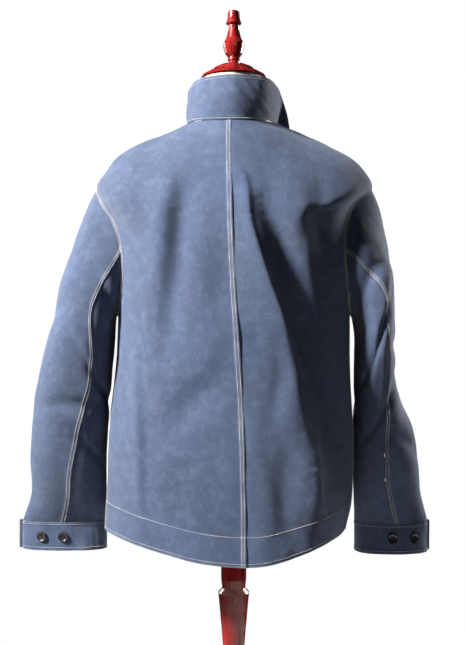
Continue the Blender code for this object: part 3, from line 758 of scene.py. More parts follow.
@dataclass
class Sewing:
    """The stitches of one cloth piece, kept until they are all known and then built as one mesh."""

    name: str
    pitch: float = 0.0031
    length: float = 0.0024
    radius: float = 0.00036
    sunk: float = 0.10
    places: list = field(default_factory=list)

    def line(self, points: Array, normals: Array) -> None:
        """Sew a line of stitches.

        Args:
            points: The line's points on the cloth.
            normals: The cloth's normals there.
        """
        reach = np.concatenate([[0.0], np.cumsum(np.linalg.norm(np.diff(points, axis=0), axis=1))])
        count = int(reach[-1] / self.pitch)
        if count < 1:
            return
        middles = (np.arange(count) + 0.5) * reach[-1] / count
        ends = []
        for offset in (-self.length / 2, 0.0, self.length / 2):
            at = middles + offset
            ends.append(np.stack([np.interp(at, reach, points[:, k]) for k in range(3)], axis=-1))
        normal = unit(np.stack([np.interp(middles, reach, normals[:, k]) for k in range(3)], axis=-1))
        self.places.append((ends[0], ends[1], ends[2], normal))

    def on(self, cloth: Cloth, rows: Array, columns: Array) -> None:
        """Sew a line at fractions of a cloth's rows and columns."""
        self.line(*cloth.at(rows, columns))

    def make(self, finish: bpy.types.Material) -> bpy.types.Object:
        """Build all the stitches as one mesh that rides on the jacket.

        Args:
            finish: The thread.

        Returns:
            The new object.
        """
        start, middle, end, normal = (np.concatenate(part) for part in zip(*self.places))
        across = unit(np.cross(end - start, normal))
        sides = 5
        turns = np.arange(sides) * 2 * math.pi / sides + math.pi / 2
        rings = []
        near, far = start * 0.75 + middle * 0.25, end * 0.75 + middle * 0.25
        for place, size in ((near, 0.85), (middle, 1.0), (far, 0.85)):
            centre = place + normal * self.radius * (1 - self.sunk) * size
            reach = size * self.radius
            ring = [centre + reach * (math.cos(turn) * across + math.sin(turn) * normal) for turn in turns]
            rings.append(np.stack(ring, axis=1))
        points = np.concatenate([start[:, None], *rings, end[:, None]], axis=1)
        each = points.shape[1]
        faces = []
        for step in range(sides):
            after = (step + 1) % sides
            faces.append((0, 1 + after, 1 + step))
            faces.append((each - 1, 1 + 2 * sides + step, 1 + 2 * sides + after))
            for ring in range(2):
                low, high = 1 + ring * sides, 1 + (ring + 1) * sides
                faces.append((low + step, low + after, high + after))
                faces.append((low + step, high + after, high + step))
        template = np.array(faces)
        index = np.arange(len(points))[:, None, None] * each + template[None]
        mesh = bpy.data.meshes.new(self.name)
        mesh.from_pydata(points.reshape(-1, 3).tolist(), [], index.reshape(-1, 3).tolist())
        mesh.shade_smooth()
        mesh.materials.append(finish)
        made = bpy.data.objects.new(self.name, mesh)
        bpy.context.scene.collection.objects.link(made)
        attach(made, "root")
        return made


@dataclass(frozen=True)
class Section:
    """One level of the body, in metres, from the neck at t 0 to the hem at t 1."""

    t: float
    left: float
    right: float
    edge_y: float
    edge_z: float
    back: float
    back_z: float
    front: float
    front_z: float
    centre: float


BODY = (
    Section(0.00, 0.0745, 0.0655, 0.000, 1.4400, 0.0850, 1.4320, -0.0880, 1.385, 0.0057),
    Section(0.05, 0.0985, 0.0950, 0.000, 1.4300, 0.0980, 1.4080, -0.1000, 1.355, 0.0056),
    Section(0.10, 0.1270, 0.1190, 0.000, 1.4180, 0.1090, 1.3800, -0.1070, 1.326, 0.0055),
    Section(0.15, 0.1630, 0.1520, 0.000, 1.4035, 0.1170, 1.3520, -0.1120, 1.300, 0.0052),
    Section(0.19, 0.1860, 0.1815, 0.000, 1.3870, 0.1225, 1.3280, -0.1155, 1.280, 0.0048),
    Section(0.22, 0.1985, 0.1985, 0.000, 1.3690, 0.1255, 1.3090, -0.1175, 1.264, 0.0044),
    Section(0.25, 0.2135, 0.2115, 0.000, 1.3450, 0.1280, 1.2900, -0.1190, 1.247, 0.0040),
    Section(0.30, 0.2095, 0.1900, 0.002, 1.3180, 0.1310, 1.2620, -0.1210, 1.222, 0.0030),
    Section(0.35, 0.1955, 0.1800, 0.003, 1.2860, 0.1335, 1.2330, -0.1225, 1.195, 0.0018),
    Section(0.40, 0.1865, 0.1785, 0.005, 1.2500, 0.1350, 1.2040, -0.1240, 1.170, 0.0004),
    Section(0.45, 0.1820, 0.1785, 0.007, 1.2100, 0.1355, 1.1740, -0.1245, 1.145, -0.0012),
    Section(0.49, 0.1800, 0.1775, 0.008, 1.1760, 0.1355, 1.1480, -0.1245, 1.124, -0.0030),
    Section(0.52, 0.1795, 0.1770, 0.009, 1.1550, 0.1350, 1.1280, -0.1245, 1.107, -0.0044),
    Section(0.54, 0.1795, 0.1765, 0.010, 1.1470, 0.1345, 1.1140, -0.1245, 1.095, -0.0055),
    Section(0.60, 0.1815, 0.1765, 0.012, 1.0900, 0.1330, 1.0660, -0.1240, 1.058, -0.0085),
    Section(0.66, 0.1855, 0.1775, 0.014, 1.0450, 0.1320, 1.0240, -0.1235, 1.018, -0.0110),
    Section(0.74, 0.1920, 0.1805, 0.016, 0.9880, 0.1320, 0.9680, -0.1230, 0.966, -0.0130),
    Section(0.82, 0.1955, 0.1820, 0.018, 0.9300, 0.1330, 0.9080, -0.1230, 0.916, -0.0145),
    Section(0.91, 0.1970, 0.1800, 0.020, 0.8720, 0.1345, 0.8460, -0.1235, 0.866, -0.0155),
    Section(1.00, 0.2000, 0.1690, 0.022, 0.8175, 0.1340, 0.7850, -0.1240, 0.815, -0.0157),
)


@dataclass(frozen=True)
class Armhole:
    """Where the armhole lies down the body's sections, and how deep it is cut."""

    top: float = 0.25
    foot: float = 0.54
    half_depth: float = 0.057
    roundness: float = 0.62


ARMHOLE = Armhole()


def body_points(side: Side, face: Face, t: Array, share: Array) -> Array:
    """Points of one panel's smooth surface.

    Args:
        side: The panel's side.
        face: The back or the front.
        t: How far down each point lies.
        share: How far from the middle to the outer edge it lies.

    Returns:
        The points.
    """
    wide_x = side.value * along(BODY, side.word, t)
    down = np.clip((t - ARMHOLE.top) / (ARMHOLE.foot - ARMHOLE.top), 0.0, 1.0)
    cut = ARMHOLE.half_depth * np.sin(math.pi * down) ** ARMHOLE.roundness
    edge_y = along(BODY, "edge_y", t) + face.value * cut
    edge_z = along(BODY, "edge_z", t)
    depth = along(BODY, face.word, t)
    middle_z = along(BODY, face.word + "_z", t)
    middle_x = along(BODY, "centre", t) if face is Face.BACK else 0.0 * t
    flat = 1.0 - 0.17 * smooth(t / 0.3)
    fall = 2.0 + 1.4 * smooth((t - 0.45) / 0.5)
    edge_turn = np.arccos(signed_power(edge_y / depth, 1.0 / flat))
    turn = share * edge_turn
    x = middle_x + (wide_x - middle_x) * np.sin(turn)
    y = depth * signed_power(np.cos(turn), flat)
    low = np.abs(np.cos(edge_turn)) ** fall
    z = edge_z + (middle_z - edge_z) * (np.abs(np.cos(turn)) ** fall - low) / (1.0 - low)
    return np.stack([x, y, z], axis=-1)


@dataclass(frozen=True)
class Fold:
    """A main fold of the solids along a curve through three points, seen along Y."""

    start_x: float
    start_z: float
    mid_x: float
    mid_z: float
    end_x: float
    end_z: float
    width: float
    height: float
    steep: float

    def rise(self, points: Array) -> Array:
        """How far the fold lifts or sinks each point."""
        steps = np.linspace(0.0, 1.0, 25)
        bend_x = 2.0 * self.mid_x - 0.5 * (self.start_x + self.end_x)
        bend_z = 2.0 * self.mid_z - 0.5 * (self.start_z + self.end_z)
        ends = ((1 - steps) ** 2, 2 * steps * (1 - steps), steps**2)
        path_x = ends[0] * self.start_x + ends[1] * bend_x + ends[2] * self.end_x
        path_z = ends[0] * self.start_z + ends[1] * bend_z + ends[2] * self.end_z
        off_x = points[..., 0, None] - path_x
        off_z = points[..., 2, None] - path_z
        nearest = np.hypot(off_x, off_z).argmin(axis=-1)
        run = unit(np.stack([np.gradient(path_x)[nearest], np.gradient(path_z)[nearest]], axis=-1))
        here = nearest[..., None]
        near_x = np.take_along_axis(off_x, here, -1)[..., 0]
        near_z = np.take_along_axis(off_z, here, -1)[..., 0]
        across = near_x * run[..., 1] - near_z * run[..., 0]
        ahead = near_x * run[..., 0] + near_z * run[..., 1]
        ends_past = (nearest == 0) & (ahead < 0) | (nearest == len(steps) - 1) & (ahead > 0)
        distance = np.hypot(across, np.where(ends_past, ahead, 0.0))
        width = np.where(across > 0.0, self.width / self.steep, self.width)
        spacing = math.hypot(self.end_x - self.start_x, self.end_z - self.start_z) / (len(steps) - 1)
        place = np.clip(steps[nearest] + ahead / spacing / (len(steps) - 1), 0.04, 0.96)
        return self.height * np.sin(math.pi * place) ** 0.6 * np.exp(-((distance / width) ** 2))


BACK_FOLDS = (
    Fold(-0.010, 1.345, -0.058, 1.160, -0.116, 0.880, 0.030, 0.0085, 1.7),
    Fold(-0.030, 1.335, -0.092, 1.165, -0.150, 0.900, 0.026, -0.0110, 1.0),
    Fold(0.092, 1.365, 0.104, 1.250, 0.122, 1.060, 0.024, 0.0070, 1.5),
    Fold(0.072, 1.350, 0.084, 1.250, 0.106, 1.080, 0.020, -0.0070, 1.0),
    Fold(0.010, 1.070, 0.070, 1.010, 0.125, 0.950, 0.026, -0.0055, 1.0),
    Fold(-0.124, 1.310, -0.130, 1.230, -0.140, 1.130, 0.016, -0.0050, 1.0),
    Fold(-0.036, 1.110, -0.066, 1.070, -0.052, 1.000, 0.014, -0.0040, 1.0),
    Fold(0.150, 1.080, 0.142, 0.980, 0.136, 0.830, 0.013, 0.0045, 1.6),
    Fold(-0.070, 0.960, -0.076, 0.880, -0.080, 0.800, 0.022, -0.0040, 1.0),
)
FRONT_FOLDS = (
    Fold(0.150, 1.280, 0.100, 1.160, 0.085, 0.960, 0.026, 0.0060, 1.5),
    Fold(0.130, 1.260, 0.075, 1.130, 0.064, 0.940, 0.022, -0.0065, 1.0),
    Fold(-0.150, 1.270, -0.098, 1.140, -0.100, 0.940, 0.026, 0.0060, 1.5),
    Fold(-0.130, 1.260, -0.073, 1.110, -0.078, 0.920, 0.022, -0.0065, 1.0),
    Fold(0.165, 1.020, 0.130, 0.960, 0.122, 0.850, 0.022, -0.0050, 1.0),
    Fold(-0.160, 1.010, -0.128, 0.950, -0.126, 0.850, 0.022, -0.0050, 1.0),
)

WALL = 0.0020
SEAM_GAP = 0.0003
SEAT_GAP = 0.0004
ARMHOLE_GAP = 0.0006
SLEEVE_SEAM_GAP = 0.0006
SHOULDER_ROWS = 7
ARMHOLE_ROWS = 11
SIDE_ROWS = 14
FINE = 7
SEAM_STEP = 5
FRONT_LAP = 0.11
LAP_COLUMNS = 12
EDGE_INSET = 0.0050
FELL_INSET = 0.0018
FELL_FAR_INSET = 0.0012
FRONT_INSETS = (0.0030, 0.0100)
ARMHOLE_INSET = 0.0030
CUFF_HEAD_INSET = 0.0040
COLLAR_HEAD_INSET = 0.0022
BODY_CENTRE = np.array([0.0, 0.0, 1.1])


def trim(grid: Array, sides: tuple, gap: float = SEAM_GAP / 2) -> Array:
    """Draw the named edges of a grid in by half a seam gap."""
    grid = grid.copy()
    if "head" in sides:
        grid[0] += gap * unit(grid[1] - grid[0])
    if "foot" in sides:
        grid[-1] += gap * unit(grid[-2] - grid[-1])
    if "start" in sides:
        grid[:, 0] += gap * unit(grid[:, 1] - grid[:, 0])
    if "end" in sides:
        grid[:, -1] += gap * unit(grid[:, -2] - grid[:, -1])
    return grid


BACK_CREASES = (
    Crease(((-0.006, 1.352), (-0.0157, 1.337), (-0.0214, 1.280), (-0.0385, 1.223), (-0.0641, 1.152),
            (-0.0926, 1.081), (-0.1111, 1.024), (-0.1183, 0.952), (-0.1240, 0.881), (-0.130, 0.850)),
           0.011, 0.0045, 2.4, 1.6, 0.5),
)


@dataclass
class Body:
    """The two backs and the two fronts, with their folds, seams and rows of stitching."""

    finishes: Finishes
    cloth_thickness: float = 0.0012
    hem_thickness: float = 0.0022
    hem_depth: float = 0.043
    fell_width: float = 0.0075
    fell_rise: float = 0.0009
    back_columns: int = 84
    front_columns: int = 56
    grids: dict = field(default_factory=dict)

    def rows(self) -> Array:
        """Where the panels' rows lie."""
        shoulder = np.linspace(0.0, ARMHOLE.top, SHOULDER_ROWS * FINE + 1)
        turn = np.linspace(0.0, math.pi, ARMHOLE_ROWS * FINE + 1)
        armhole = ARMHOLE.top + (ARMHOLE.foot - ARMHOLE.top) * (1 - np.cos(turn)) / 2
        armhole = 0.45 * armhole + 0.55 * np.linspace(ARMHOLE.top, ARMHOLE.foot, ARMHOLE_ROWS * FINE + 1)
        side = np.linspace(ARMHOLE.foot, 1.0, SIDE_ROWS * FINE + 1)
        return np.concatenate([shoulder, armhole[1:], side[1:]])

    def shape(self) -> None:
        """Work out the four panels' points with the solids' own folds."""
        rows = self.rows()
        for side in Side:
            for face in Face:
                back = face is Face.BACK
                shares = spread(0.0, 1.0, self.back_columns if back else self.front_columns, 0.07, 12)
                if not back:
                    shares = np.concatenate([np.linspace(-FRONT_LAP, 0.0, LAP_COLUMNS + 1)[:-1], shares])
                t, share = np.meshgrid(rows, shares, indexing="ij")
                grid = body_points(side, face, t, share)
                normal = surface_normals(grid, BODY_CENTRE)
                folds = BACK_FOLDS if back else FRONT_FOLDS
                rise = sum(fold.rise(grid) for fold in folds) * smooth((t - 0.10) / 0.14)
                rise *= smooth((1.02 - share) / 0.12)
                if not back:
                    rise *= smooth((share - 0.12) / 0.2)
                    if side is Side.LEFT:
                        rise += (WALL + SEAT_GAP + 0.0003) * smooth((0.30 - share) / 0.14)
                self.grids[side, face] = grid + normal * rise[..., None]

    def normals(self, side: Side, face: Face) -> Array:
        """One panel's normals, shared with its neighbours along the seams."""
        own = surface_normals(self.grids[side, face], BODY_CENTRE)
        other_face = Face.FRONT if face is Face.BACK else Face.BACK
        other = surface_normals(self.grids[side, other_face], BODY_CENTRE)
        foot = (SHOULDER_ROWS + ARMHOLE_ROWS) * FINE
        for run in (np.s_[: SHOULDER_ROWS * FINE + 1], np.s_[foot:]):
            own[run, -1] = unit(own[run, -1] + other[run, -1])
        return own

    def dress(self, side: Side, face: Face) -> None:
        """Build one panel with its creases, its seams and its stitching."""
        back = face is Face.BACK
        name = f"{face.word}_{side.word}"
        edges = ("head", "end", "start") if back else ("head", "end")
        cloth = Cloth("cloth_" + name, trim(self.grids[side, face], edges), BODY_CENTRE,
                      self.normals(side, face))
        plane = cloth.points[..., [0, 2]]
        settle = smooth(cloth.from_end / 0.02) * smooth(cloth.from_head / 0.02)
        if back:
            cloth.lift(creased(BACK_CREASES, plane) * settle)
        cloth.lift(Ripple(11 + side.value + 3 * face.value).rise(cloth.flat) * settle)
        self._seams(cloth, side, back)
        hem = smooth((self.hem_depth - cloth.from_foot) / 0.004)
        thickness = self.cloth_thickness + (self.hem_thickness - self.cloth_thickness) * hem
        made = cloth.dress(name, thickness, self.finishes.twill)
        sewn = self._sew(cloth, side, back, name)
        cloth.declare()

    def _seams(self, cloth: Cloth, side: Side, back: bool) -> None:
        """Raise the felled seams and the doubled hem a little."""
        if back and side is Side.LEFT:
            fell = smooth((self.fell_width - cloth.from_start) / 0.0012)
            cloth.lift(self.fell_rise * fell, 0.55)
        if back:
            fell = smooth((self.fell_width - cloth.from_end) / 0.0015)
            cloth.lift(self.fell_rise * fell, 0.35)
        band = smooth((self.hem_depth - cloth.from_foot) / 0.0015)
        cloth.lift(0.0004 * band)
        cloth.wear += 0.8 * np.exp(-((cloth.from_foot / 0.0018) ** 2))

    def _sew(self, cloth: Cloth, side: Side, back: bool, name: str) -> bpy.types.Object:
        """Sew the panel's rows of stitching."""
        sewing = Sewing("stitches_" + name)
        for inset in (EDGE_INSET, self.hem_depth):
            sewing.on(cloth, *cloth.across_at(cloth.from_foot, inset))
        if back:
            for inset in (FELL_INSET, self.fell_width - FELL_FAR_INSET):
                if side is Side.LEFT:
                    sewing.on(cloth, *cloth.down_at(cloth.from_start, inset))
                sewing.on(cloth, *cloth.down_at(cloth.from_end, inset))
        else:
            for inset in FRONT_INSETS:
                sewing.on(cloth, *cloth.down_at(cloth.from_start, inset))
        return sewing.make(self.finishes.thread)


@dataclass(frozen=True)
class Arm:
    """One section of a sleeve: its outer and inner edge seen from behind, its middle, depth and turn."""

    t: float
    outer: float
    outer_z: float
    inner: float
    inner_z: float
    middle: float
    half_depth: float
    turn: float


@dataclass(frozen=True)
class ArmCrease:
    """A fold of a sleeve, centred at along and round in the sleeve's own measure, slanted by tilt."""

    along: float
    round: float
    tilt: float
    length: float
    breadth: float
    height: float


SLEEVES = {
    Side.LEFT: (
        Arm(0.00, 0.2140, 1.3450, 0.1800, 1.1470, 0.000, 0.060, 0),
        Arm(0.06, 0.2270, 1.3200, 0.1865, 1.1370, 0.000, 0.065, -3),
        Arm(0.13, 0.2400, 1.2850, 0.1885, 1.1220, -0.001, 0.070, -5),
        Arm(0.21, 0.2545, 1.2450, 0.1895, 1.1020, -0.003, 0.073, -10),
        Arm(0.30, 0.2700, 1.2000, 0.1905, 1.0780, -0.006, 0.073, -21),
        Arm(0.39, 0.2815, 1.1530, 0.1935, 1.0500, -0.009, 0.070, -30),
        Arm(0.48, 0.2945, 1.1080, 0.1965, 1.0220, -0.014, 0.066, -32),
        Arm(0.57, 0.3060, 1.0640, 0.1995, 0.9900, -0.019, 0.063, -28),
        Arm(0.66, 0.3155, 1.0150, 0.2020, 0.9540, -0.025, 0.060, -21),
        Arm(0.75, 0.3220, 0.9670, 0.2040, 0.9180, -0.031, 0.056, -16),
        Arm(0.84, 0.3255, 0.9170, 0.2050, 0.8850, -0.038, 0.050, -10),
        Arm(0.92, 0.3245, 0.8700, 0.2055, 0.8540, -0.044, 0.040, -6),
        Arm(1.00, 0.3400, 0.8180, 0.2065, 0.8180, -0.048, 0.023, -3),
    ),
    Side.RIGHT: (
        Arm(0.00, 0.2120, 1.3450, 0.1775, 1.1470, 0.000, 0.060, 0),
        Arm(0.06, 0.2230, 1.3200, 0.1835, 1.1370, 0.000, 0.067, 2),
        Arm(0.13, 0.2320, 1.2850, 0.1870, 1.1220, -0.001, 0.075, 5),
        Arm(0.21, 0.2415, 1.2430, 0.1888, 1.1020, -0.002, 0.081, 10),
        Arm(0.30, 0.2455, 1.1980, 0.1880, 1.0780, -0.004, 0.084, 15),
        Arm(0.39, 0.2465, 1.1500, 0.1880, 1.0500, -0.007, 0.085, 19),
        Arm(0.48, 0.2480, 1.1050, 0.1880, 1.0240, -0.011, 0.083, 21),
        Arm(0.57, 0.2500, 1.0620, 0.1880, 0.9930, -0.017, 0.079, 17),
        Arm(0.66, 0.2615, 1.0120, 0.1880, 0.9580, -0.023, 0.074, 4),
        Arm(0.75, 0.2800, 0.9680, 0.1880, 0.9250, -0.028, 0.067, -7),
        Arm(0.84, 0.2905, 0.9150, 0.1885, 0.8870, -0.034, 0.058, -9),
        Arm(0.92, 0.2955, 0.8680, 0.1890, 0.8540, -0.039, 0.047, -4),
        Arm(1.00, 0.3080, 0.8180, 0.1915, 0.8180, -0.042, 0.034, 0),
    ),
}
SLEEVE_CREASES = {
    Side.LEFT: (
        ArmCrease(0.14, 95, 0.0010, 0.030, 50, -0.0060),
        ArmCrease(0.33, 150, 0.0016, 0.040, 60, -0.0050),
        ArmCrease(0.47, 60, -0.0012, 0.030, 55, -0.0055),
        ArmCrease(0.60, 110, 0.0014, 0.028, 50, -0.0045),
        ArmCrease(0.72, 70, -0.0012, 0.026, 45, -0.0045),
        ArmCrease(0.52, 290, 0.0012, 0.030, 55, -0.0060),
    ),
    Side.RIGHT: (
        ArmCrease(0.16, 100, 0.0012, 0.030, 50, -0.0060),
        ArmCrease(0.36, 70, -0.0014, 0.036, 60, -0.0060),
        ArmCrease(0.53, 165, 0.0013, 0.030, 55, -0.0055),
        ArmCrease(0.62, 95, -0.0012, 0.026, 50, -0.0050),
        ArmCrease(0.76, 130, 0.0014, 0.026, 45, -0.0045),
        ArmCrease(0.50, 290, 0.0012, 0.030, 55, -0.0060),
    ),
}


@dataclass
class Sleeve:
    """One sleeve of an upper and an under piece, sewn at the back and at the front."""

    side: Side
    finishes: Finishes
    rings: int = 200
    cloth_thickness: float = 0.0012
    fell_width: float = 0.0075
    fell_rise: float = 0.0009

    def turns(self) -> Array:
        """Each ring point's turn round the sleeve, with a seam at 90 and at 270 degrees."""
        count = 2 * ARMHOLE_ROWS * FINE
        step = SEAM_STEP * FINE
        marks = (0, step, count - step, count)
        return np.radians(np.interp(np.arange(count), marks, (0, 90, 270, 360)))

    def armhole(self, body: Body) -> tuple[Array, Array]:
        """The armhole's points from the underarm up the back and down the front, and the way out of it."""
        rows = slice(SHOULDER_ROWS * FINE, (SHOULDER_ROWS + ARMHOLE_ROWS) * FINE + 1)
        loops, normals = [], []
        for face in Face:
            edge = body.grids[self.side, face][rows, -1]
            normal = body.normals(self.side, face)[rows, -1]
            loops.append(edge[::-1] if face is Face.BACK else edge[1:-1])
            normals.append(normal[::-1] if face is Face.BACK else normal[1:-1])
        loop = np.concatenate(loops)
        run = np.roll(loop, -1, axis=0) - np.roll(loop, 1, axis=0)
        out = unit(np.cross(np.concatenate(normals), run))
        return loop, out * np.sign((out * (loop.mean(axis=0) - loop)).sum(axis=-1, keepdims=True))

    def ring(self, t: float, turned_by: float) -> Array:
        """One ring of the sleeve's smooth surface."""
        table, sign = SLEEVES[self.side], self.side.value
        outer = np.array([sign * along(table, "outer", t), 0.0, along(table, "outer_z", t)])
        inner = np.array([sign * along(table, "inner", t), 0.0, along(table, "inner_z", t)])
        middle = (outer + inner) / 2 + np.array([0.0, along(table, "middle", t), 0.0])
        turn = self.turns() + math.radians(turned_by)
        depth = along(table, "half_depth", t) * signed_power(np.sin(turn), 0.9)
        plan = signed_power(np.cos(turn), 0.9)[:, None] * (inner - outer) / 2
        return middle + plan + depth[:, None] * np.array([0.0, 1.0, 0.0])

    def shape(self, body: Body) -> Array:
        """The sleeve's rings of points, from the armhole to the cuff."""
        loop, out = self.armhole(body)
        t = np.linspace(0.0, 1.0, self.rings + 1) ** 1.08
        start = loop + ARMHOLE_GAP * out - self.ring(0.0, 0.0)
        table = SLEEVES[self.side]
        rings = np.stack([
            self.ring(at, along(table, "turn", at)) + start * (1 - smooth(at / 0.28)) for at in t
        ])
        degrees = np.degrees(self.turns())[None, :]
        rise = np.zeros(rings.shape[:2])
        for crease in SLEEVE_CREASES[self.side]:
            off = (degrees - crease.round + 180) % 360 - 180
            slant = t[:, None] - crease.along - crease.tilt * off
            rise += crease.height * np.exp(-((slant / crease.length) ** 2) - (off / crease.breadth) ** 2)
        rise *= smooth(t / 0.08)[:, None] * smooth((1 - t) / 0.10)[:, None]
        rings = rings + self.normals(rings) * rise[..., None]
        rings[-1] += SEAM_GAP * unit(rings[-2] - rings[-1])
        return rings

    @staticmethod
    def normals(rings: Array) -> Array:
        """Outward normals of closed rings."""
        wrapped = np.concatenate([rings[:, -1:], rings, rings[:, :1]], axis=1)
        return surface_normals(wrapped, rings.mean(axis=1, keepdims=True))[:, 1:-1]

    def dress(self, body: Body) -> None:
        """Build both pieces of the sleeve."""
        rings = self.shape(body)
        normals = self.normals(rings)
        count = 2 * ARMHOLE_ROWS * FINE
        step = SEAM_STEP * FINE
        centre = rings.mean(axis=1, keepdims=True)
        columns = {
            "upper": np.arange(step, count - step + 1),
            "under": np.arange(count - step, count + step + 1) % count,
        }
        for word, chosen in columns.items():
            name = f"sleeve_{self.side.word}_{word}"
            grid = trim(rings[:, chosen], ("start", "end"), SLEEVE_SEAM_GAP / 2)
            cloth = Cloth("cloth_" + name, grid, centre, normals[:, chosen])
            settle = smooth(cloth.from_end / 0.02) * smooth(cloth.from_start / 0.02)
            settle = settle * smooth(cloth.from_head / 0.03) * smooth(cloth.from_foot / 0.02)
            cloth.lift(Ripple(31 + self.side.value + len(word)).rise(cloth.flat) * settle)
            if word == "upper":
                for distance in (cloth.from_start, cloth.from_end):
                    cloth.lift(self.fell_rise * smooth((self.fell_width - distance) / 0.0015), 0.4)
            made = cloth.dress(name, self.cloth_thickness, self.finishes.twill)
            sewing = Sewing("stitches_" + name)
            sewing.on(cloth, *cloth.across_at(cloth.from_head, ARMHOLE_INSET))
            if word == "upper":
                for distance in (cloth.from_start, cloth.from_end):
                    for inset in (FELL_INSET, self.fell_width - FELL_FAR_INSET):
                        sewing.on(cloth, *cloth.down_at(distance, inset))
            sewn = sewing.make(self.finishes.thread)
            cloth.declare()


@dataclass
class Cuff:
    """One cuff: a doubled strip once round the wrist, whose tab stands out at its end."""

    side: Side
    finishes: Finishes
    outer: float
    inner: float
    middle: float
    half_depth: float
    top: float
    bottom: float
    tab: float
    wall: float = 0.0028
    gap_turn: float = math.radians(7)
    steps: int = 240
    rows: int = 44

    def path(self) -> Array:
        """Points round the cuff from its tab over the front and the inside to its back end."""
        turns = np.linspace(-self.gap_turn, -2 * math.pi + self.gap_turn, self.steps)
        half = (self.outer - self.inner) / 2
        x = self.inner + half + half * signed_power(np.cos(turns), 0.9)
        y = self.middle + self.half_depth * signed_power(np.sin(turns), 0.9)
        ring = np.stack([x, y], axis=-1)
        tip = ring[0] + np.array([self.tab, 0.0008])
        lead = tip + (ring[0] - tip) * np.linspace(0.0, 1.0, 9)[:-1, None]
        return np.concatenate([lead, ring]) * np.array([self.side.value, 1.0])

    def dress(self) -> None:
        """Build the strip with its turned edges and its topstitching."""
        path = self.path()
        heights = self.top + (self.bottom - self.top) * spread(0.0, 1.0, self.rows, 0.16, 10)
        grid = np.stack([np.column_stack([path, np.full(len(path), z)]) for z in heights])
        centre = np.array([self.side.value * (self.outer + self.inner) / 2, self.middle,
                           (self.top + self.bottom) / 2])
        name = f"cuff_{self.side.word}"
        cloth = Cloth("cloth_" + name, grid, centre)
        cloth.lift(Ripple(51 + self.side.value, 0.0004, 0.05).rise(cloth.flat))
        edge = np.minimum(np.minimum(cloth.from_head, cloth.from_foot),
                          np.minimum(cloth.from_start, cloth.from_end))
        cloth.lift(0.0004 * smooth((0.006 - edge) / 0.002))
        cloth.wear += 0.8 * np.exp(-((edge / 0.0015) ** 2))
        made = cloth.dress(name, self.wall, self.finishes.twill)
        sewing = Sewing("stitches_" + name)
        sewing.on(cloth, *cloth.across_at(cloth.from_head, CUFF_HEAD_INSET))
        sewing.on(cloth, *cloth.across_at(cloth.from_foot, EDGE_INSET))
        sewing.on(cloth, *cloth.down_at(cloth.from_start, EDGE_INSET))
        sewing.on(cloth, *cloth.down_at(cloth.from_end, EDGE_INSET))
        sewn = sewing.make(self.finishes.thread)
        cloth.declare()


@dataclass(frozen=True)
class Edge:
    """One point of the collar's upper edge."""

    t: float
    x: float
    y: float
    z: float


@dataclass
class Collar:
    """The stand-up collar, turned up, from the neck seam to its upper edge."""

    finishes: Finishes
    wall: float = 0.0030
    bow: float = 0.004
    rows: int = 44
    edge: tuple = (
        Edge(-1.00, -0.0900, -0.0560, 1.4350),
        Edge(-0.82, -0.0850, -0.0400, 1.4600),
        Edge(-0.66, -0.0745, -0.0200, 1.4880),
        Edge(-0.50, -0.0655, 0.0060, 1.5000),
        Edge(-0.25, -0.0480, 0.0550, 1.5015),
        Edge(0.00, 0.0020, 0.0780, 1.5015),
        Edge(0.25, 0.0505, 0.0550, 1.5015),
        Edge(0.50, 0.0690, 0.0060, 1.5000),
        Edge(0.66, 0.0745, -0.0220, 1.4920),
        Edge(0.82, 0.0755, -0.0480, 1.4740),
        Edge(1.00, 0.0660, -0.0760, 1.4500),
    )

    def dress(self, body: Body) -> None:
        """Build the collar from the neck seam's own points."""
        heads = {key: grid[0] for key, grid in body.grids.items()}
        base = np.concatenate([
            heads[Side.RIGHT, Face.FRONT][LAP_COLUMNS:],
            heads[Side.RIGHT, Face.BACK][-2::-1],
            heads[Side.LEFT, Face.BACK][1:],
            heads[Side.LEFT, Face.FRONT][-2 : LAP_COLUMNS - 1 : -1],
        ])
        base = base + np.array([0.0, 0.0, SEAT_GAP + 0.0006])
        half = len(base) // 2
        reach = run_lengths(base[None], 1)[0]
        marks = np.where(
            np.arange(len(base)) < half,
            reach / reach[half] - 1.0,
            (reach - reach[half]) / (reach[-1] - reach[half]),
        )
        edge = np.stack([along(self.edge, column, marks) for column in ("x", "y", "z")], axis=-1)
        steps = spread(0.0, 1.0, self.rows, 0.12, 9)
        out = unit((base + edge) * np.array([0.5, 0.5, 0.0]))
        grid = np.stack([
            base * (1 - row) + edge * row + self.bow * math.sin(math.pi * row) * out for row in steps
        ])
        cloth = Cloth("cloth_collar", grid, np.array([0.0, 0.0, 1.45]))
        settle = smooth(cloth.from_head / 0.012) * smooth(cloth.from_foot / 0.010)
        cloth.lift(Ripple(71, 0.0007, 0.06).rise(cloth.flat) * settle)
        edges = np.minimum(cloth.from_foot, np.minimum(cloth.from_start, cloth.from_end))
        cloth.lift(0.0004 * smooth((0.005 - edges) / 0.002))
        cloth.wear += 0.8 * np.exp(-((edges / 0.0016) ** 2))
        made = cloth.dress("collar", self.wall, self.finishes.twill)
        sewing = Sewing("stitches_collar")
        sewing.on(cloth, *cloth.across_at(cloth.from_foot, EDGE_INSET))
        sewing.on(cloth, *cloth.across_at(cloth.from_head, COLLAR_HEAD_INSET))
        sewing.on(cloth, *cloth.down_at(cloth.from_start, EDGE_INSET))
        sewing.on(cloth, *cloth.down_at(cloth.from_end, EDGE_INSET))
        sewn = sewing.make(self.finishes.thread)
        cloth.declare()


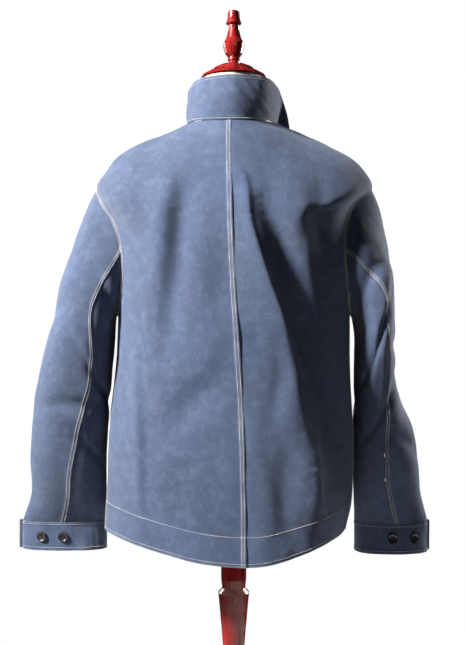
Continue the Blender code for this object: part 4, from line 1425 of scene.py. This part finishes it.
@dataclass
class Studio:
    """The camera, the lights and the pale floor."""

    camera_place: tuple = (0.0039, 1.5, 1.134)
    focal_pixels: float = 961.5
    frame_height: float = 645.0
    sensor: float = 36.0
    floor_reach: float = 1.6

    def build(self) -> None:
        """Set up the whole studio."""
        self._camera()
        self._light("key", (2.19, 1.17, 2.87), (0.0, 0.05, 1.15), 0.40, 62.0)
        self._light("fill", (-0.6, 3.0, 1.9), (0.0, 0.0, 1.1), 1.6, 0.6)
        self._light("back_left", (1.6, -1.6, 1.7), (0.2, 0.0, 1.1), 1.2, 5.0)
        self._light("back_right", (-1.7, -1.2, 1.6), (-0.2, 0.0, 1.1), 1.2, 14.0)
        self._world()
        self._floor()

    def _camera(self) -> None:
        """Place the camera level behind the jacket."""
        data = bpy.data.cameras.new("camera")
        data.sensor_width = self.sensor
        data.lens = self.focal_pixels / self.frame_height * self.sensor
        camera = bpy.data.objects.new("camera", data)
        camera.location = self.camera_place
        camera.rotation_euler = (math.radians(90), 0.0, math.radians(180))
        bpy.context.scene.collection.objects.link(camera)
        bpy.context.scene.camera = camera

    def _light(self, name: str, place: tuple, aim: tuple, size: float, power: float) -> None:
        """Add a soft square light that points at a place."""
        data = bpy.data.lights.new(name, "AREA")
        data.shape = "SQUARE"
        data.size = size
        data.energy = power
        data.spread = math.radians(70)
        lamp = bpy.data.objects.new(name, data)
        lamp.location = place
        way = lamp.location.__class__(aim) - lamp.location
        lamp.rotation_euler = way.to_track_quat("-Z", "Y").to_euler()
        bpy.context.scene.collection.objects.link(lamp)

    def _world(self) -> None:
        """Show a blown-out white backdrop that lights the object only softly."""
        world = bpy.data.worlds.new("studio")
        world.use_nodes = True
        tree = world.node_tree
        seen = tree.nodes.new("ShaderNodeBackground")
        seen.inputs["Color"].default_value = (1.0, 1.0, 1.0, 1.0)
        seen.inputs["Strength"].default_value = 1.0
        room = tree.nodes["Background"]
        room.inputs["Color"].default_value = (0.80, 0.88, 1.0, 1.0)
        room.inputs["Strength"].default_value = 0.012
        path = tree.nodes.new("ShaderNodeLightPath")
        mix = tree.nodes.new("ShaderNodeMixShader")
        tree.links.new(path.outputs["Is Camera Ray"], mix.inputs[0])
        tree.links.new(room.outputs[0], mix.inputs[1])
        tree.links.new(seen.outputs[0], mix.inputs[2])
        tree.links.new(mix.outputs[0], tree.nodes["World Output"].inputs[0])
        bpy.context.scene.world = world
        bpy.context.scene.view_settings.view_transform = "Standard"

    def _floor(self) -> None:
        """Lay a plain pale floor."""
        bpy.ops.object.select_all(action="DESELECT")
        bpy.ops.mesh.primitive_circle_add(vertices=96, radius=self.floor_reach, fill_type="NGON",
                                          location=(0.0, 0.0, -0.0005))
        floor = bpy.context.object
        floor.name = "floor"
        bpy.ops.object.transform_apply(location=True)
        floor.data.materials.append(PaleWall().material())


def main() -> None:
    """Build and dress every piece, in order."""
    logging.basicConfig(level=logging.INFO, format="%(message)s")
    finishes = Finishes()
    body = Body(finishes)
    body.shape()
    for side in Side:
        for face in Face:
            body.dress(side, face)
    for side in Side:
        Sleeve(side, finishes).dress(body)
    Cuff(Side.LEFT, finishes, 0.3400, 0.2065, -0.048, 0.023, 0.8175, 0.7720, 0.0075).dress()
    Cuff(Side.RIGHT, finishes, 0.3080, 0.1915, -0.042, 0.034, 0.8175, 0.7700, 0.0050).dress()
    Collar(finishes).dress(body)
    shown = {name: finishes.wood for name in ("neck_cap", "finial", "pole", "base")}
    shown["form_torso"] = finishes.cover
    shown |= {name: finishes.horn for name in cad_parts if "button" in name}
    for name, finish in shown.items():
        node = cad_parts[name]
        node.data.materials.clear()
        node.data.materials.append(finish)
    Studio().build()


if __name__ == "__main__":
    main()
